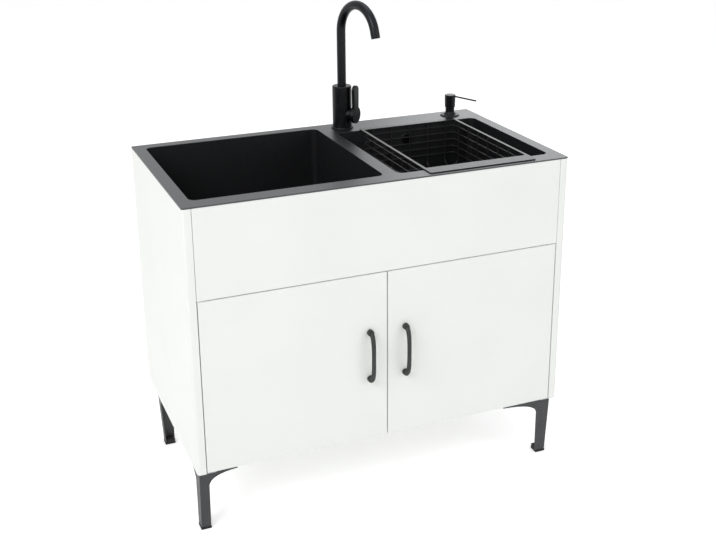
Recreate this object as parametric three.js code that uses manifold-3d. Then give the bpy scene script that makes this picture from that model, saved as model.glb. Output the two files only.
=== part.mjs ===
// A freestanding kitchen sink unit: a white two-door cabinet on four folded steel legs, under a
// pressed sink deck with two bowls, a swan-neck mixer tap, a soap pump and a lift-out wire basket.
// Millimetres, +Z up, the front faces -Y. The floor is z = 0.

import * as THREE from 'three';
import { mergeVertices } from 'three/addons/utils/BufferGeometryUtils.js';
import Module from 'manifold-3d';

const wasm = await Module();
wasm.setup();

// ---------------------------------------------------------------- driving dimensions

// overall
const unitWidth = 900;
const unitDepth = 500;
const deckHeight = 760;          // top of the sink deck
const legHeight = 145;           // underside of the cabinet
const seat = 0.3;                // air between two pieces that touch
const running = 0.4;             // air round a piece that turns or slides

// sides of a round, by its size
const wireSides = 4;
const smallRound = 10;
const middleRound = 16;
const wideRound = 20;

// cabinet boards
const sideThickness = 20;
const sideArris = 7;             // rounding of a side panel's front corner
const doorThickness = 18;
const doorArris = 1.2;
const floorThickness = 16;
const floorSetback = 5;          // from the back of the doors to the floor board
const floorNotchDepth = 23;      // its front corners, where the pivots and the doors' edges turn
const floorNotchSpare = 3;       // past the pivot's plate
const backThickness = 5;
const backInset = 7;             // rear edge of the side panels to the back board
const serviceWidth = 320;        // opening in the back board for the waste and the supplies
const serviceHeight = 210;
const serviceSill = 105;         // above the cabinet's underside
const serviceCorner = 20;

// front
const fasciaHeight = 203;
const fasciaSideGap = 0.8;
const fasciaDoorGap = 2.2;
const doorSideGap = 2;
const doorMeetGap = 2.5;
const doorFootGap = 2.2;         // door's lower edge above the cabinet's underside
const railThickness = 15;
const railHeight = 70;
const railOverlap = 26;          // how far the rail hangs down behind the doors
const railEndNotch = 36;         // cut from its lower corners, where the doors turn

// door pivots
const pivotInset = 10;           // pin axis in from the door's hinge edge
const pivotDepth = 6;            // pin axis behind the door's front face
const pinRadius = 2.4;
const pinLength = 11;
const pivotPlate = 1.5;
const pivotReach = 22;           // plate's width from the side panel
const pivotFlange = 30;          // height of the leaf screwed to the side panel

// door handles
const handlePitch = 114;
const handleRise = 7;            // the handles' middle above the doors' middle
const handleReach = 28;
const handleInset = 42;          // axis to the door's meeting edge
const handleFootRadius = 7.6;
const handleBarRadius = 5.6;
const handleWaistRadius = 4.8;
const handleFootHeight = 11;
const handleSink = 1;            // bow's ends inside its feet
const handleSquareness = 0.62;   // flattens the arch into a bow
const handleSides = 8;
const handleScrewRadius = 2;
const handleScrewBite = 4;       // screw's end inside the foot
const screwHeadRadius = 4;
const screwHeadHeight = 2.4;

// catch
const catchWidth = 46;
const catchHeight = 14;
const catchDepth = 13;
const catchTongueWidth = 10;
const catchTongueHeight = 14;    // up the rail's back
const catchTongueThickness = 2;
const strikeThickness = 1.2;
const strikeWidth = 18;
const strikeInset = 2;           // from the door's meeting edge

// legs
const legSheet = 3;
const legNarrow = 22;            // flange widths at the cabinet
const legWide = 35;
const legNarrowWing = 87;        // gusset tips, from the leg's corner
const legWideWing = 128;
const legGusset = 32;            // height of the curved gusset
const legWingTip = 2.5;          // height left at the gusset's tip
const legGussetEase = 4;         // how far its curve stays off the corner
const legLean = 8;               // how far the corner leans in at the floor
const legPlate = 60;
const leftLegInset = 4;
const rightLegInset = 15;
const frontLegInset = 4;
const rearLegInset = 80;
const footHeight = 5;
const footBlock = 15;            // height of the plug inside the leg's corner
const footLip = 4;               // how far the plug stands past the narrow flange
const footSoleSpare = 1;         // sole past the leg's outer faces
const footPlugClearance = 0.5;

// sink
const deckThickness = 3;
const deckArris = 0.7;
const deckCorner = 4;
const bowlDepth = 200;
const bowlWall = 1.5;
const bowlCorner = 16;
const bowlBend = 12;             // radius between the walls and the floor
const bowlFlange = 6;
const bowlSideMargin = 28;
const bowlFrontMargin = 41;
const leftBowlWidth = 432.5;
const leftBowlRear = 29;         // rear of the deck to the left bowl
const bowlDivider = 33;
const rightBowlRear = 89.5;      // ledge that carries the tap and the pump
const drainRear = 260;           // drains in front of the deck's rear edge

// drains
const drainHoleRadius = 43;
const drainFlangeRadius = 55;
const drainFlangeHeight = 1.8;
const drainCupDepth = 46;
const drainWall = 1.8;
const drainNutHeight = 13;
const drainNutRadius = 58;
const drainNutLobes = 8;
const drainNutGrip = 3;          // depth of the grips between them
const spigotRadius = 20;
const spigotLength = 24;
const spigotWall = 3;
const strainerRadius = 37;
const strainerDepth = 34;
const strainerRimRadius = 46;
const strainerHoles = 6;
const strainerHoleRadius = 2.6;
const strainerKnobRadius = 8;
const strainerKnobHeight = 13;   // above its rim
const strainerPostRadius = 3;
const strainerSheet = 1.2;
const strainerTaper = 5;
const strainerHoleReach = 22;    // ring of holes in its floor
const strainerHoleDrop = 14;     // ring of holes in its wall, below the rim

// waste pipes
const pipeRadius = 20;
const socketWall = 4;
const socketDepth = 18;
const socketFit = 0.6;
const elbowDrop = 62;            // spigot end to the level run
const elbowBend = 34;
const elbowBendSteps = 5;
const wasteNutWall = 3.5;
const wasteNutHeight = 16;
const wasteNutSides = 12;
const teeHalf = 42;
const trapDrop = 40;             // level run to the trap's cap
const trapRadius = 34;
const trapHeight = 92;
const trapCupHeight = 40;
const trapNutHeight = 16;
const trapShoulder = 12;         // below the cap, where the body draws in
const trapGrips = 8;
const trapGripRadius = 2.4;
const trapBandHeight = 11;       // the cup's threaded band
const trapBandDepth = 3;         // how far the band stands out
const trapCupFoot = 14;          // how far the cup draws in at its foot
const trapCupEase = 9;           // height of that slope
const trapOutletDrop = 26;       // trap's cap to the outlet axis
const trapOutletReach = 56;

// overflow
const overflowDrop = 34;         // centre below the deck's top
const overflowHoleRadius = 11;
const overflowRoseRadius = 14;
const overflowRoseDepth = 2;
const overflowSlots = 3;
const overflowSlotPitch = 6;
const overflowElbowReach = 22;
const overflowElbowRadius = 17;
const overflowElbowWall = 4;
const overflowSpigotRadius = 9;
const overflowSpigotWall = 2.5;
const overflowSpigotDrop = 42;

// wire basket
const basketInset = 63;          // left edge of its rim from the right bowl's left edge
const basketWidth = 265;
const basketFrontEdge = 10;      // rim's front edge behind the deck's front edge
const basketRearRest = 10;       // rim's bearing on the rear ledge
const basketSideBar = 7;
const basketRimThickness = 2;
const basketRimCorner = 5;
const basketDepth = 112;
const basketWall = 6;            // clearance from the bowl's walls to the hoops
const wireThickness = 2.4;
const basketRows = 5;
const basketLongWires = 3;
const basketCrossWires = 4;
const basketCorner = 11;         // plan corner of its rows
const basketBend = 15;           // bend from its floor into its walls
const basketBendSteps = 2;

// tap
const tapInset = 33;             // from the right bowl's left edge
const fittingRear = 42;          // tap and pump axes from the deck's rear edge
const tapRingRadius = 28;
const tapRingHeight = 4;
const tapRadius = 24;
const tapHeight = 108;           // body's top above the deck
const tapArris = 2.5;
const tapBoreDepth = 34;
const spoutRadius = 11;
const spoutBend = 72;
const spoutRise = 243;           // centre of the bend above the deck
const spoutSweep = 164;          // degrees of bend
const spoutTail = 18;
const spoutTurn = 12.5;          // degrees, spout's rest direction towards +X from the front
const spoutWall = 1.5;
const spoutBendSteps = 15;
const aeratorLength = 7;
const aeratorThroat = 3.5;
const aeratorThroatRadius = 6.5;
const bossRadius = 16;
const bossReach = 30;
const bossRise = 36;             // its axis above the deck
const bossTurn = 50;             // degrees from +X towards the front
const turretRadius = 15.5;
const turretThickness = 3;
const spindleRadius = 8;
const spindleLength = 15;
const hubRadius = 21;
const leverThickness = 8;
const leverArris = 1.6;
const leverLength = 63;          // hub's axis to the centre of the lever's round end
const leverEndRadius = 12;
const leverRootRadius = 11;
const leverPinRadius = 1.1;
const leverPinHalf = 5.5;
const leverEarHalf = 3;
const leverEarRadius = 1.8;
const shankRadius = 16.5;
const shankLength = 52;
const inletRadius = 4.5;
const inletSpacing = 13;
const inletDepth = 18;
const fixingNutRadius = 25;
const fixingNutHeight = 11;

// soap pump
const soapInset = 43;            // from the right bowl's right edge
const soapFlangeRadius = 25;
const soapFlangeHeight = 3.5;
const soapCollarRadius = 11.6;
const soapCollarTop = 32;
const soapConeTop = 10;
const soapConeRadius = 16.5;
const soapCapRadius = 14;
const soapCapWall = 1.8;
const soapCapTaper = 0.6;        // narrower at its foot
const soapCapHead = 6;           // full width below its top
const soapCapArris = 1.5;
const soapCapBottom = 23;
const soapCapTop = 55;
const soapStroke = 11;
const soapStemRadius = 4;
const soapStemTail = 20;         // below the shank, inside the bottle
const nozzleDrop = 5;            // nozzle's root below the cap's top
const nozzleRadius = 1.7;
const nozzleLength = 68;         // pump's axis to the tip
const nozzleSlope = 12;          // degrees down
const nozzleTurn = 27;           // degrees from +X towards the front
const soapShankRadius = 12;
const soapShankLength = 44;
const soapNutRadius = 21;
const soapNutHeight = 9;
const bottleRadius = 29;
const bottleHeight = 150;
const bottleNeckRadius = 18;
const bottleNeckHeight = 24;
const bottleWall = 2;
const bottleEase = 4;            // rounding at its foot and shoulder

// finishes: colour, roughness, metalness
const whiteLacquer = [0xebedea, 0.45, 0];
const blackSteel = [0x2c2d2f, 0.42, 0.6];
const brushedDeck = [0x77797a, 0.38, 0.9];
const darkBowl = [0x262729, 0.4, 0.8];
const gunmetal = [0x3a3b3d, 0.3, 0.9];
const stainless = [0xb9bbbd, 0.28, 1];
const zincPlate = [0xaeb2b4, 0.4, 0.9];
const whitePlastic = [0xf1f1ee, 0.5, 0];
const blackPlastic = [0x1c1c1d, 0.55, 0];
const clearPlastic = [0xd9dcda, 0.35, 0];
const blackRubber = [0x151515, 0.85, 0];

// ---------------------------------------------------------------- shared levels and planes

const halfWidth = unitWidth / 2;
const frontY = -unitDepth / 2;
const rearY = unitDepth / 2;
const innerX = halfWidth - sideThickness;
const doorBackY = frontY + doorThickness;
const deckUnder = deckHeight - deckThickness;
const boardTop = deckUnder - seat;
const fasciaBottom = boardTop - fasciaHeight;
const doorTop = fasciaBottom - fasciaDoorGap;
const doorBottom = legHeight + doorFootGap;
const backFaceY = rearY - backInset;
const bowlFloor = deckHeight - bowlDepth;
const bowlUnder = bowlFloor - bowlWall;
const leftBowl = {
  x0: -halfWidth + bowlSideMargin,
  x1: -halfWidth + bowlSideMargin + leftBowlWidth,
  y0: frontY + bowlFrontMargin,
  y1: rearY - leftBowlRear,
};
const rightBowl = {
  x0: leftBowl.x1 + bowlDivider,
  x1: halfWidth - bowlSideMargin,
  y0: leftBowl.y0,
  y1: rearY - rightBowlRear,
};
const drainY = rearY - drainRear;
const fittingY = rearY - fittingRear;
const tapX = rightBowl.x0 + tapInset;
const soapX = rightBowl.x1 - soapInset;
const middleX = (box) => (box.x0 + box.x1) / 2;

// ---------------------------------------------------------------- geometry helpers

const radians = THREE.MathUtils.degToRad;
const vec = (x, y, z) => new THREE.Vector3(x, y, z);

// A geometry with shared corners merged, no collapsed triangles and its faces pointing out.
function closed(geometry) {
  const bare = new THREE.BufferGeometry();
  bare.setAttribute('position', geometry.getAttribute('position').clone());
  bare.setIndex(geometry.index ? geometry.index.clone() : null);
  const merged = mergeVertices(bare, 1e-4);
  const position = merged.getAttribute('position');
  const corner = [vec(0, 0, 0), vec(0, 0, 0), vec(0, 0, 0)];
  const triangles = [];
  let volume = 0;
  for (let i = 0; i < merged.index.count; i += 3) {
    const [a, b, c] = [0, 1, 2].map((k) => merged.index.getX(i + k));
    if (a === b || b === c || c === a) continue;
    corner[0].fromBufferAttribute(position, a);
    corner[1].fromBufferAttribute(position, b);
    corner[2].fromBufferAttribute(position, c);
    volume += corner[0].dot(corner[1].cross(corner[2]));
    triangles.push([a, b, c]);
  }
  if (volume < 0) triangles.forEach((triangle) => triangle.reverse());
  merged.setIndex(triangles.flat());
  return merged;
}

function toSolid(geometry) {
  const tidy = closed(geometry);
  return new wasm.Manifold(new wasm.Mesh({
    numProp: 3,
    vertProperties: new Float32Array(tidy.getAttribute('position').array),
    triVerts: new Uint32Array(tidy.index.array),
  }));
}

function toGeometry(solid) {
  const mesh = solid.getMesh();
  const geometry = new THREE.BufferGeometry();
  geometry.setAttribute('position', new THREE.Float32BufferAttribute(mesh.vertProperties, 3));
  geometry.setIndex(Array.from(mesh.triVerts));
  return geometry;
}

function join(first, ...others) {
  return toGeometry(others.reduce((sum, piece) => sum.add(toSolid(piece)), toSolid(first)));
}

function cut(body, ...tools) {
  return toGeometry(tools.reduce((rest, tool) => rest.subtract(toSolid(tool)), toSolid(body)));
}

// A block between two opposite corners, given in either order.
function block(x0, x1, y0, y1, z0, z1) {
  const box = new THREE.BoxGeometry(Math.abs(x1 - x0), Math.abs(y1 - y0), Math.abs(z1 - z0));
  return box.translate((x0 + x1) / 2, (y0 + y1) / 2, (z0 + z1) / 2);
}

// A cylinder, or a cone, between two points.
function rod(from, to, radius, sides = middleRound, endRadius = radius) {
  const run = vec(0, 0, 0).subVectors(to, from);
  const cylinder = new THREE.CylinderGeometry(endRadius, radius, run.length(), sides);
  const turn = new THREE.Quaternion().setFromUnitVectors(vec(0, 1, 0), run.clone().normalize());
  const middle = vec(0, 0, 0).addVectors(from, to).multiplyScalar(0.5);
  return cylinder.applyQuaternion(turn).translate(middle.x, middle.y, middle.z);
}

function uprightRod(x, y, z0, z1, radius, sides = middleRound, endRadius = radius) {
  return rod(vec(x, y, z0), vec(x, y, z1), radius, sides, endRadius);
}

// A turned piece about a vertical axis, from [radius, height] pairs.
function turned(profile, x, y, z, sides = wideRound) {
  const points = profile.map(([radius, height]) => new THREE.Vector2(radius, height));
  return new THREE.LatheGeometry(points, sides).rotateX(Math.PI / 2).translate(x, y, z);
}

// A closed outline through [x, y] corners.
function outline(corners) {
  return new THREE.Shape(corners.map(([x, y]) => new THREE.Vector2(x, y)));
}

function rectangle(x0, x1, y0, y1) {
  return outline([[x0, y0], [x1, y0], [x1, y1], [x0, y1]]);
}

function roundedRect(x0, x1, y0, y1, radius) {
  const shape = new THREE.Shape();
  shape.absarc(x1 - radius, y0 + radius, radius, -Math.PI / 2, 0);
  shape.absarc(x1 - radius, y1 - radius, radius, 0, Math.PI / 2);
  shape.absarc(x0 + radius, y1 - radius, radius, Math.PI / 2, Math.PI);
  shape.absarc(x0 + radius, y0 + radius, radius, Math.PI, Math.PI * 1.5);
  shape.closePath();
  return shape;
}

function polygon(x, y, radius, sides = wideRound) {
  return new THREE.Shape(Array.from({ length: sides }, (_, i) => {
    const angle = (i / sides) * Math.PI * 2;
    return new THREE.Vector2(x + Math.cos(angle) * radius, y + Math.sin(angle) * radius);
  }));
}

// A board cut from a plan outline, lying between two heights, with its long edges eased.
function board(shape, z0, z1, arris = 0, arcSteps = 4) {
  const geometry = new THREE.ExtrudeGeometry(shape, {
    depth: z1 - z0 - 2 * arris,
    bevelEnabled: arris > 0,
    bevelThickness: arris,
    bevelSize: arris,
    bevelOffset: -arris,
    bevelSegments: 1,
    curveSegments: arcSteps,
  });
  return geometry.translate(0, 0, z0 + arris);
}

// The same board stood up: its outline is drawn in x and z, and it runs from y0 back to y1.
function uprightBoard(shape, y0, y1, arris = 0, arcSteps = 4) {
  return board(shape, -y1, -y0, arris, arcSteps).rotateX(Math.PI / 2);
}

// A skin over rings of equally many points, closed by flat caps unless the last ring meets the first.
function skinned(rings, ringed = false) {
  const count = rings[0].length;
  const positions = rings.flat().flatMap((p) => [p.x, p.y, p.z]);
  const triangles = [];
  const last = ringed ? rings.length : rings.length - 1;
  for (let r = 0; r < last; r += 1) {
    const lower = r * count;
    const upper = ((r + 1) % rings.length) * count;
    for (let i = 0; i < count; i += 1) {
      const next = (i + 1) % count;
      triangles.push(lower + i, lower + next, upper + next, lower + i, upper + next, upper + i);
    }
  }
  if (!ringed) {
    const top = (rings.length - 1) * count;
    for (let i = 1; i < count - 1; i += 1) {
      triangles.push(0, i + 1, i, top, top + i, top + i + 1);
    }
  }
  const geometry = new THREE.BufferGeometry();
  geometry.setAttribute('position', new THREE.Float32BufferAttribute(positions, 3));
  geometry.setIndex(triangles);
  return geometry;
}

function rectRing(box, inset, radius, z, arcSteps = 4) {
  const shape = roundedRect(box.x0 + inset, box.x1 - inset, box.y0 + inset, box.y1 - inset, radius);
  const points = shape.getPoints(arcSteps / 2);
  if (points[0].distanceTo(points[points.length - 1]) < 1e-6) points.pop();
  return points.map((p) => vec(p.x, p.y, z));
}

// A bar along points in one plane, with a mitred ring of the given radius at each of them.
// Its first side corner points outwards, or the turn is a share of a side.
function bentBar(points, planeNormal, radiusAt, sides, ringed = false, turn = 0) {
  const count = points.length;
  const direction = (from, to) => vec(0, 0, 0).subVectors(to, from).normalize();
  const rings = points.map((point, i) => {
    const before = ringed ? points[(i + count - 1) % count] : points[Math.max(i - 1, 0)];
    const after = ringed ? points[(i + 1) % count] : points[Math.min(i + 1, count - 1)];
    const arriving = before === point ? direction(point, after) : direction(before, point);
    const leaving = after === point ? arriving : direction(point, after);
    const tangent = arriving.clone().add(leaving).normalize();
    const side = vec(0, 0, 0).crossVectors(tangent, planeNormal);
    const mitre = 1 / Math.max(tangent.dot(arriving), 0.5);
    const radius = radiusAt(i / (count - 1));
    return Array.from({ length: sides }, (_, k) => {
      const angle = ((k + turn) / sides) * Math.PI * 2;
      return point.clone()
        .addScaledVector(side, Math.cos(angle) * radius * mitre)
        .addScaledVector(planeNormal, Math.sin(angle) * radius);
    });
  });
  return skinned(rings, ringed);
}

// Corner points of a path, each inner corner rounded by an arc.
function roundedPath(corners, radius, steps) {
  const path = [corners[0]];
  for (let i = 1; i < corners.length - 1; i += 1) {
    const back = vec(0, 0, 0).subVectors(corners[i - 1], corners[i]).normalize();
    const ahead = vec(0, 0, 0).subVectors(corners[i + 1], corners[i]).normalize();
    const half = Math.acos(THREE.MathUtils.clamp(back.dot(ahead), -1, 1)) / 2;
    const inward = back.clone().add(ahead).normalize();
    const centre = inward.multiplyScalar(radius / Math.sin(half)).add(corners[i]);
    const start = back.clone().multiplyScalar(radius / Math.tan(half)).add(corners[i]);
    const end = ahead.clone().multiplyScalar(radius / Math.tan(half)).add(corners[i]);
    const from = vec(0, 0, 0).subVectors(start, centre);
    const axis = vec(0, 0, 0).crossVectors(from, vec(0, 0, 0).subVectors(end, centre)).normalize();
    for (let k = 0; k <= steps; k += 1) {
      path.push(from.clone().applyAxisAngle(axis, ((Math.PI - 2 * half) * k) / steps).add(centre));
    }
  }
  path.push(corners[corners.length - 1]);
  return path;
}

// ---------------------------------------------------------------- assembly

// The handles stand proud of the front, so the plan's centre lies ahead of the cabinet's own.
const sinkUnit = new THREE.Group();
sinkUnit.position.y = handleReach / 2;

function addPart(name, geometry, [color, roughness, metalness], parent = sinkUnit) {
  const material = new THREE.MeshStandardMaterial({ color, roughness, metalness });
  const mesh = new THREE.Mesh(closed(geometry), material);
  mesh.name = name;
  parent.add(mesh);
  return mesh;
}

const hands = [['left', -1], ['right', 1]];

// ---------------------------------------------------------------- cabinet boards

for (const [hand, sign] of hands) {
  const plan = new THREE.Shape();
  plan.moveTo(sign * innerX, frontY);
  plan.lineTo(sign * innerX, rearY);
  plan.lineTo(sign * halfWidth, rearY);
  plan.lineTo(sign * halfWidth, frontY + sideArris);
  plan.quadraticCurveTo(sign * halfWidth, frontY, sign * (halfWidth - sideArris), frontY);
  plan.closePath();
  addPart(`${hand}_side_panel`, board(plan, legHeight, boardTop, 0, 6), whiteLacquer);
}

// The floor board's front corners are notched where the door pivots and the doors' edges turn.
const floorFrontY = doorBackY + floorSetback;
const floorNotchY = floorFrontY + floorNotchDepth;
const floorRearY = backFaceY - backThickness - seat;
const pivotLeafBack = floorNotchY - seat;
const floorHalf = innerX - seat;
const floorNotchX = innerX - pivotReach - floorNotchSpare;
const floorPlan = outline([
  [-floorNotchX, floorFrontY], [floorNotchX, floorFrontY],
  [floorNotchX, floorNotchY], [floorHalf, floorNotchY], [floorHalf, floorRearY],
  [-floorHalf, floorRearY], [-floorHalf, floorNotchY], [-floorNotchX, floorNotchY],
]);
addPart('bottom_panel', board(floorPlan, legHeight, legHeight + floorThickness), whiteLacquer);

const backOutline = rectangle(-floorHalf, floorHalf, legHeight, boardTop);
const serviceBottom = legHeight + serviceSill;
backOutline.holes.push(roundedRect(
  -serviceWidth / 2, serviceWidth / 2, serviceBottom, serviceBottom + serviceHeight, serviceCorner,
));
addPart('back_panel', uprightBoard(backOutline, backFaceY - backThickness, backFaceY), whiteLacquer);

// ---------------------------------------------------------------- fascia and front rail

const fasciaHalf = innerX - fasciaSideGap;
const fasciaOutline = rectangle(-fasciaHalf, fasciaHalf, fasciaBottom, boardTop);
addPart('front_fascia', uprightBoard(fasciaOutline, frontY, doorBackY, doorArris), whiteLacquer);

const railBottom = doorTop - railOverlap;
const railTop = railBottom + railHeight;
const railNotchTop = fasciaBottom + 1;
const railNotchX = innerX - railEndNotch;
const railFrontY = doorBackY + seat;
const railBackY = railFrontY + railThickness;
const railOutline = outline([
  [-railNotchX, railBottom], [railNotchX, railBottom], [railNotchX, railNotchTop], [floorHalf, railNotchTop],
  [floorHalf, railTop], [-floorHalf, railTop], [-floorHalf, railNotchTop], [-railNotchX, railNotchTop],
]);
addPart('front_rail', uprightBoard(railOutline, railFrontY, railBackY), whiteLacquer);

// ---------------------------------------------------------------- doors, pivots and handles

const doorWidth = innerX - doorSideGap - doorMeetGap / 2;
const handleZ = (doorTop + doorBottom) / 2 + handleRise;
const pinHole = pinRadius + running;
const pinHoleDepth = pinLength + 1.5;
const pivotX = innerX - doorSideGap - pivotInset;
const pivotY = frontY + pivotDepth;

// One pivot: a plate in the gap over or under the door, a leaf on the side panel and a pin in the door.
function doorPivot(sign, upper) {
  const outer = sign * (innerX - seat);
  const doorEdge = upper ? doorTop : doorBottom;
  const up = upper ? 1 : -1;
  const plateNear = doorEdge + up * seat;
  const plateFar = plateNear + up * pivotPlate;
  const leafEnd = upper ? plateFar - pivotFlange : plateFar + pivotFlange;
  const inner = outer - sign * pivotReach;
  const leafInner = outer - sign * pivotPlate;
  const plate = block(outer, inner, frontY + doorArris, pivotLeafBack, plateNear, plateFar);
  const leaf = block(outer, leafInner, floorFrontY + 1, pivotLeafBack, plateFar, leafEnd);
  const pinX = sign * pivotX;
  const pin = rod(
    vec(pinX, pivotY, plateFar), vec(pinX, pivotY, plateNear - up * pinLength), pinRadius, smallRound,
  );
  return join(plate, leaf, pin);
}

// A bow handle: two round feet and a bar that thins to its middle.
function bowHandle(x) {
  const half = handlePitch / 2;
  const footY = frontY - seat;
  const bowOut = handleReach - handleWaistRadius - seat - handleSink;
  const steps = 12;
  const arch = Array.from({ length: steps + 1 }, (_, i) => {
    const angle = Math.PI * (i / steps);
    const along = Math.sign(Math.cos(angle)) * Math.abs(Math.cos(angle)) ** handleSquareness;
    const out = Math.sin(angle) ** handleSquareness;
    return vec(x, footY - handleSink - bowOut * out, handleZ + half * along);
  });
  const thickness = (t) => {
    const fromEnd = Math.min(t, 1 - t) * 2;
    return THREE.MathUtils.lerp(handleBarRadius, handleWaistRadius, fromEnd);
  };
  const bar = bentBar(arch, vec(1, 0, 0), thickness, handleSides);
  const footProfile = [
    [0, 0], [handleFootRadius, 0], [handleFootRadius, handleFootHeight / 2],
    [handleBarRadius, handleFootHeight], [0, handleFootHeight],
  ];
  const ends = [-half, half];
  const feet = ends.map((offset) => (
    turned(footProfile, 0, 0, 0, smallRound).rotateX(Math.PI / 2).translate(x, footY, handleZ + offset)
  ));
  const screwHoles = ends.map((offset) => {
    const z = handleZ + offset;
    return rod(vec(x, frontY, z), vec(x, frontY - handleScrewBite - 2, z), handleScrewRadius, smallRound);
  });
  return cut(join(bar, ...feet), ...screwHoles);
}

for (const [hand, sign] of hands) {
  const meetX = sign * doorMeetGap / 2;
  const hingeX = sign * (doorMeetGap / 2 + doorWidth);
  const slabOutline = rectangle(Math.min(meetX, hingeX), Math.max(meetX, hingeX), doorBottom, doorTop);
  const slab = uprightBoard(slabOutline, frontY, doorBackY, doorArris);
  const pinHoles = [
    uprightRod(sign * pivotX, pivotY, doorTop - pinHoleDepth, doorTop + 1, pinHole, smallRound),
    uprightRod(sign * pivotX, pivotY, doorBottom - 1, doorBottom + pinHoleDepth, pinHole, smallRound),
  ];
  const handleX = sign * (doorMeetGap / 2 + handleInset);
  const levels = [['upper', handleZ + handlePitch / 2], ['lower', handleZ - handlePitch / 2]];
  const screwHoles = levels.map(([, z]) => (
    rod(vec(handleX, frontY - 1, z), vec(handleX, doorBackY + 1, z), handleScrewRadius + seat, smallRound)
  ));
  addPart(`${hand}_door`, cut(slab, ...pinHoles, ...screwHoles), whiteLacquer);
  addPart(`${hand}_handle`, bowHandle(handleX), blackSteel);
  for (const [level, z] of levels) {
    const headY = doorBackY + seat;
    const along = (y0, y1, radius) => rod(vec(handleX, y0, z), vec(handleX, y1, z), radius, smallRound);
    const shaft = along(frontY - handleScrewBite, headY + 1, handleScrewRadius - seat);
    const head = along(headY, headY + screwHeadHeight, screwHeadRadius);
    addPart(`${hand}_handle_screw_${level}`, join(shaft, head), zincPlate);
  }
  addPart(`${hand}_door_top_pivot`, doorPivot(sign, true), zincPlate);
  addPart(`${hand}_door_bottom_pivot`, doorPivot(sign, false), zincPlate);
}

// ---------------------------------------------------------------- door catch

// The catch hangs under the rail from a tongue up its back. Each door has a strike plate.
const catchTop = railBottom - seat;
const catchBottom = catchTop - catchHeight;
const strikeY = doorBackY + seat;
const catchFrontY = strikeY + strikeThickness + seat;
const catchBackY = catchFrontY + catchDepth;
const tongueY = railBackY + seat;
const tongueBackY = tongueY + catchTongueThickness;
const tongueHalf = catchTongueWidth / 2;
addPart('door_catch', join(
  block(-catchWidth / 2, catchWidth / 2, catchFrontY, catchBackY, catchBottom, catchTop),
  block(-tongueHalf, tongueHalf, catchBackY - 1, tongueBackY, catchTop - catchTongueThickness, catchTop),
  block(-tongueHalf, tongueHalf, tongueY, tongueBackY, catchTop - 1, catchTop + catchTongueHeight),
), blackPlastic);
for (const [hand, sign] of hands) {
  const near = sign * (doorMeetGap / 2 + strikeInset);
  const far = near + sign * strikeWidth;
  const plate = block(near, far, strikeY, strikeY + strikeThickness, catchBottom, catchTop);
  addPart(`${hand}_strike_plate`, plate, zincPlate);
}

// ---------------------------------------------------------------- legs

// Gusseted flange of a leg in its own plane: u runs out from the corner, z up from the floor.
function legOutline(width, wing) {
  const bottom = footHeight + seat;
  const top = legHeight - seat;
  const wingUnder = top - legWingTip;
  const flange = new THREE.Shape();
  flange.moveTo(0, bottom);
  flange.lineTo(width, bottom);
  flange.lineTo(width, top - legGusset);
  flange.quadraticCurveTo(width + legGussetEase, wingUnder - legGussetEase, wing, wingUnder);
  flange.lineTo(wing, top);
  flange.lineTo(0, top);
  flange.closePath();
  return flange;
}

// A leg in its own frame: its corner on the z axis, the narrow flange along +x, the wide one along +y.
// The corner leans in towards the floor, and the wide flange's free edge stays upright.
function legSheetMetal() {
  const narrow = uprightBoard(legOutline(legNarrow, legNarrowWing), 0, legSheet, 0, 8);
  const wide = uprightBoard(legOutline(legWide, legWideWing), -legSheet, 0, 0, 8).rotateZ(Math.PI / 2);
  const top = legHeight - seat;
  const plate = block(0, legPlate, 0, legPlate, top - legSheet, top);
  const leg = join(narrow, wide, plate);
  const position = leg.getAttribute('position');
  for (let i = 0; i < position.count; i += 1) {
    const drop = 1 - position.getZ(i) / legHeight;
    const hold = 1 - THREE.MathUtils.clamp(position.getY(i) / legWide, 0, 1);
    position.setY(i, position.getY(i) + legLean * drop * hold);
  }
  return leg;
}

// A foot: a sole under both flanges and a plug that stands inside the leg's corner.
function legFoot() {
  const lipX = legNarrow + footLip;
  const plugY = legLean + legSheet + footPlugClearance;
  const sole = block(-footSoleSpare, lipX, legLean - footSoleSpare, legWide + footSoleSpare, 0, footHeight);
  const plugX = legSheet + footPlugClearance;
  const plug = block(plugX, lipX, plugY, legWide, footHeight - 1, footHeight + footBlock);
  return join(sole, plug);
}

const legPlaces = [
  ['front_left', -halfWidth + leftLegInset, frontY + frontLegInset, 0],
  ['front_right', halfWidth - rightLegInset, frontY + frontLegInset, 90],
  ['rear_right', halfWidth - rightLegInset, rearY - rearLegInset, 180],
  ['rear_left', -halfWidth + leftLegInset, rearY - rearLegInset, -90],
];
for (const [place, x, y, turn] of legPlaces) {
  const corner = new THREE.Group();
  corner.position.set(x, y, 0);
  corner.rotation.z = radians(turn);
  sinkUnit.add(corner);
  addPart(`${place}_leg`, legSheetMetal(), blackSteel, corner);
  addPart(`${place}_foot`, legFoot(), blackRubber, corner);
}

// ---------------------------------------------------------------- sink deck and bowls

const deckPlan = roundedRect(-halfWidth, halfWidth, frontY, rearY, deckCorner);
for (const bowl of [leftBowl, rightBowl]) {
  deckPlan.holes.push(roundedRect(bowl.x0, bowl.x1, bowl.y0, bowl.y1, bowlCorner));
}
deckPlan.holes.push(polygon(tapX, fittingY, shankRadius + running));
deckPlan.holes.push(polygon(soapX, fittingY, soapShankRadius + running));
addPart('sink_deck', board(deckPlan, deckUnder, deckHeight, deckArris, 2), brushedDeck);

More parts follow.
